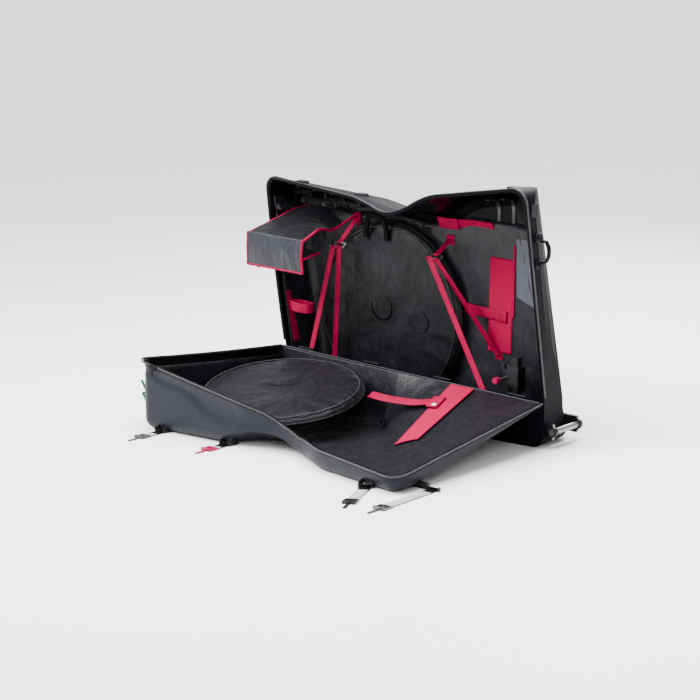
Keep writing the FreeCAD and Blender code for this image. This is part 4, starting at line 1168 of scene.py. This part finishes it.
def end_handle():
    """A webbing arch on the two pins at the right end."""
    low_pin, high_pin, y, from_pin = 655, 742, -128, 8.6
    x = HALF - LEAN_RIGHT * (low_pin - HINGE_Z) + 13.5
    low, high = low_pin + from_pin, high_pin - from_pin
    half = ((0, 0), (17, 2), (27, 18))
    path = [(x + out, y, low + up) for out, up in half] + [(x + 29, y, 698)]
    path += [(x + out, y, high - up) for out, up in reversed(half)]
    grip = ribbon("grip_arch", path, ALONG_Y, 21, 6, 60, "black_plastic", "black_webbing", "grip")
    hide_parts("end_handle")
    for index, z in enumerate((low, high)):
        eye = [(x, y, z - 4.2), (x, y, z + 4.2)]
        tube("grip_eye_%d" % index, eye, 6.4, "black_plastic", 4, "grip", sides=20)


# CAD nodes that stay: materials by slot, softened edges
OWN = {"base_shell": "base_shell", "base_hinge_leaves": "hinge_metal", "lid_hinge_leaves": "hinge_metal",
       "hinge_pins": "hinge_metal", "lid_zip_slider": "hinge_metal"}
BEVELS = {"steel": 0.0005, "black_plastic": 0.0012, "bracket_alloy": 0.001, "red_knob": 0.0018,
          "green_hook": 0.0009, "grey_hook": 0.0009, "black_hook": 0.0009, "silver_hook": 0.0009,
          "tyre_rubber": 0.003, "case_shell": 0.0008}


def dress_nodes():
    slots = {s["node"]: s["material_slot"] for s in frame["record"]["subparts"]}
    for node, obj in frame["nodes"].items():
        obj.data.materials.clear()
        obj.data.materials.append(materials[OWN.get(node, slots[node])])
        obj.data.shade_smooth()
        obj.data.set_sharp_from_angle(angle=radians(50))
        if slots[node] in BEVELS and node not in ("base_shell", "lid_shell"):
            bevel(obj, BEVELS[slots[node]])


# Floor and light: each lamp's place, width and power
LAMPS = {"key": ((-2.4, -3.2, 3.4), 1.6, 330), "fill": ((3.4, -3.6, 2.4), 1.4, 70),
         "top": ((0.4, -0.4, 3.4), 2, 260), "rear": ((-0.8, 3, 2.6), 2.2, 160)}
LAMP_AIM = (0, -0.3, 0.35)


def lay_floor():
    n = Nodes("floor")
    tint = n.mix(n.ramp(n.noise(0.7, 3), 0.3, 0.7), (0.90, 0.90, 0.905), (0.94, 0.94, 0.94))
    size = 160
    mesh = bpy.data.meshes.new("floor")
    corners = [(-size, -size, 0), (size, -size, 0), (size, size, 0), (-size, size, 0)]
    mesh.from_pydata(corners, [], [(0, 1, 2, 3)])
    mesh.materials.append(n.finish(tint, 0.55))
    floor = add("floor", mesh)
    floor.location.z = -0.0005


def light():
    world = bpy.data.worlds.new("studio")
    bpy.context.scene.world = world
    world.use_nodes = True
    sky = world.node_tree.nodes["Background"]
    sky.inputs["Color"].default_value = (1, 1, 1, 1)
    sky.inputs["Strength"].default_value = 0.9
    sun = bpy.data.lights.new("sun", "SUN")
    sun.energy = 5
    sun.angle = radians(60)
    add("sun", sun).rotation_euler = (radians(28), radians(-24), 0)
    for name, (place, width, power) in LAMPS.items():
        data = bpy.data.lights.new(name, "AREA")
        data.shape = "SQUARE"
        data.size = width
        data.energy = power
        lamp = add(name, data)
        lamp.location = place
        lamp.rotation_euler = (Vector(LAMP_AIM) - Vector(place)).to_track_quat("-Z", "Y").to_euler()


# The build, in order
for build in (camera, lid_shell, lid_liner, base_liner, bags, bag_handle, pouch, load_straps, small_straps,
              panels, lid_strap, end_pocket, ribs, rims, closing_straps, end_handle, dress_nodes,
              lay_floor, light):
    build()
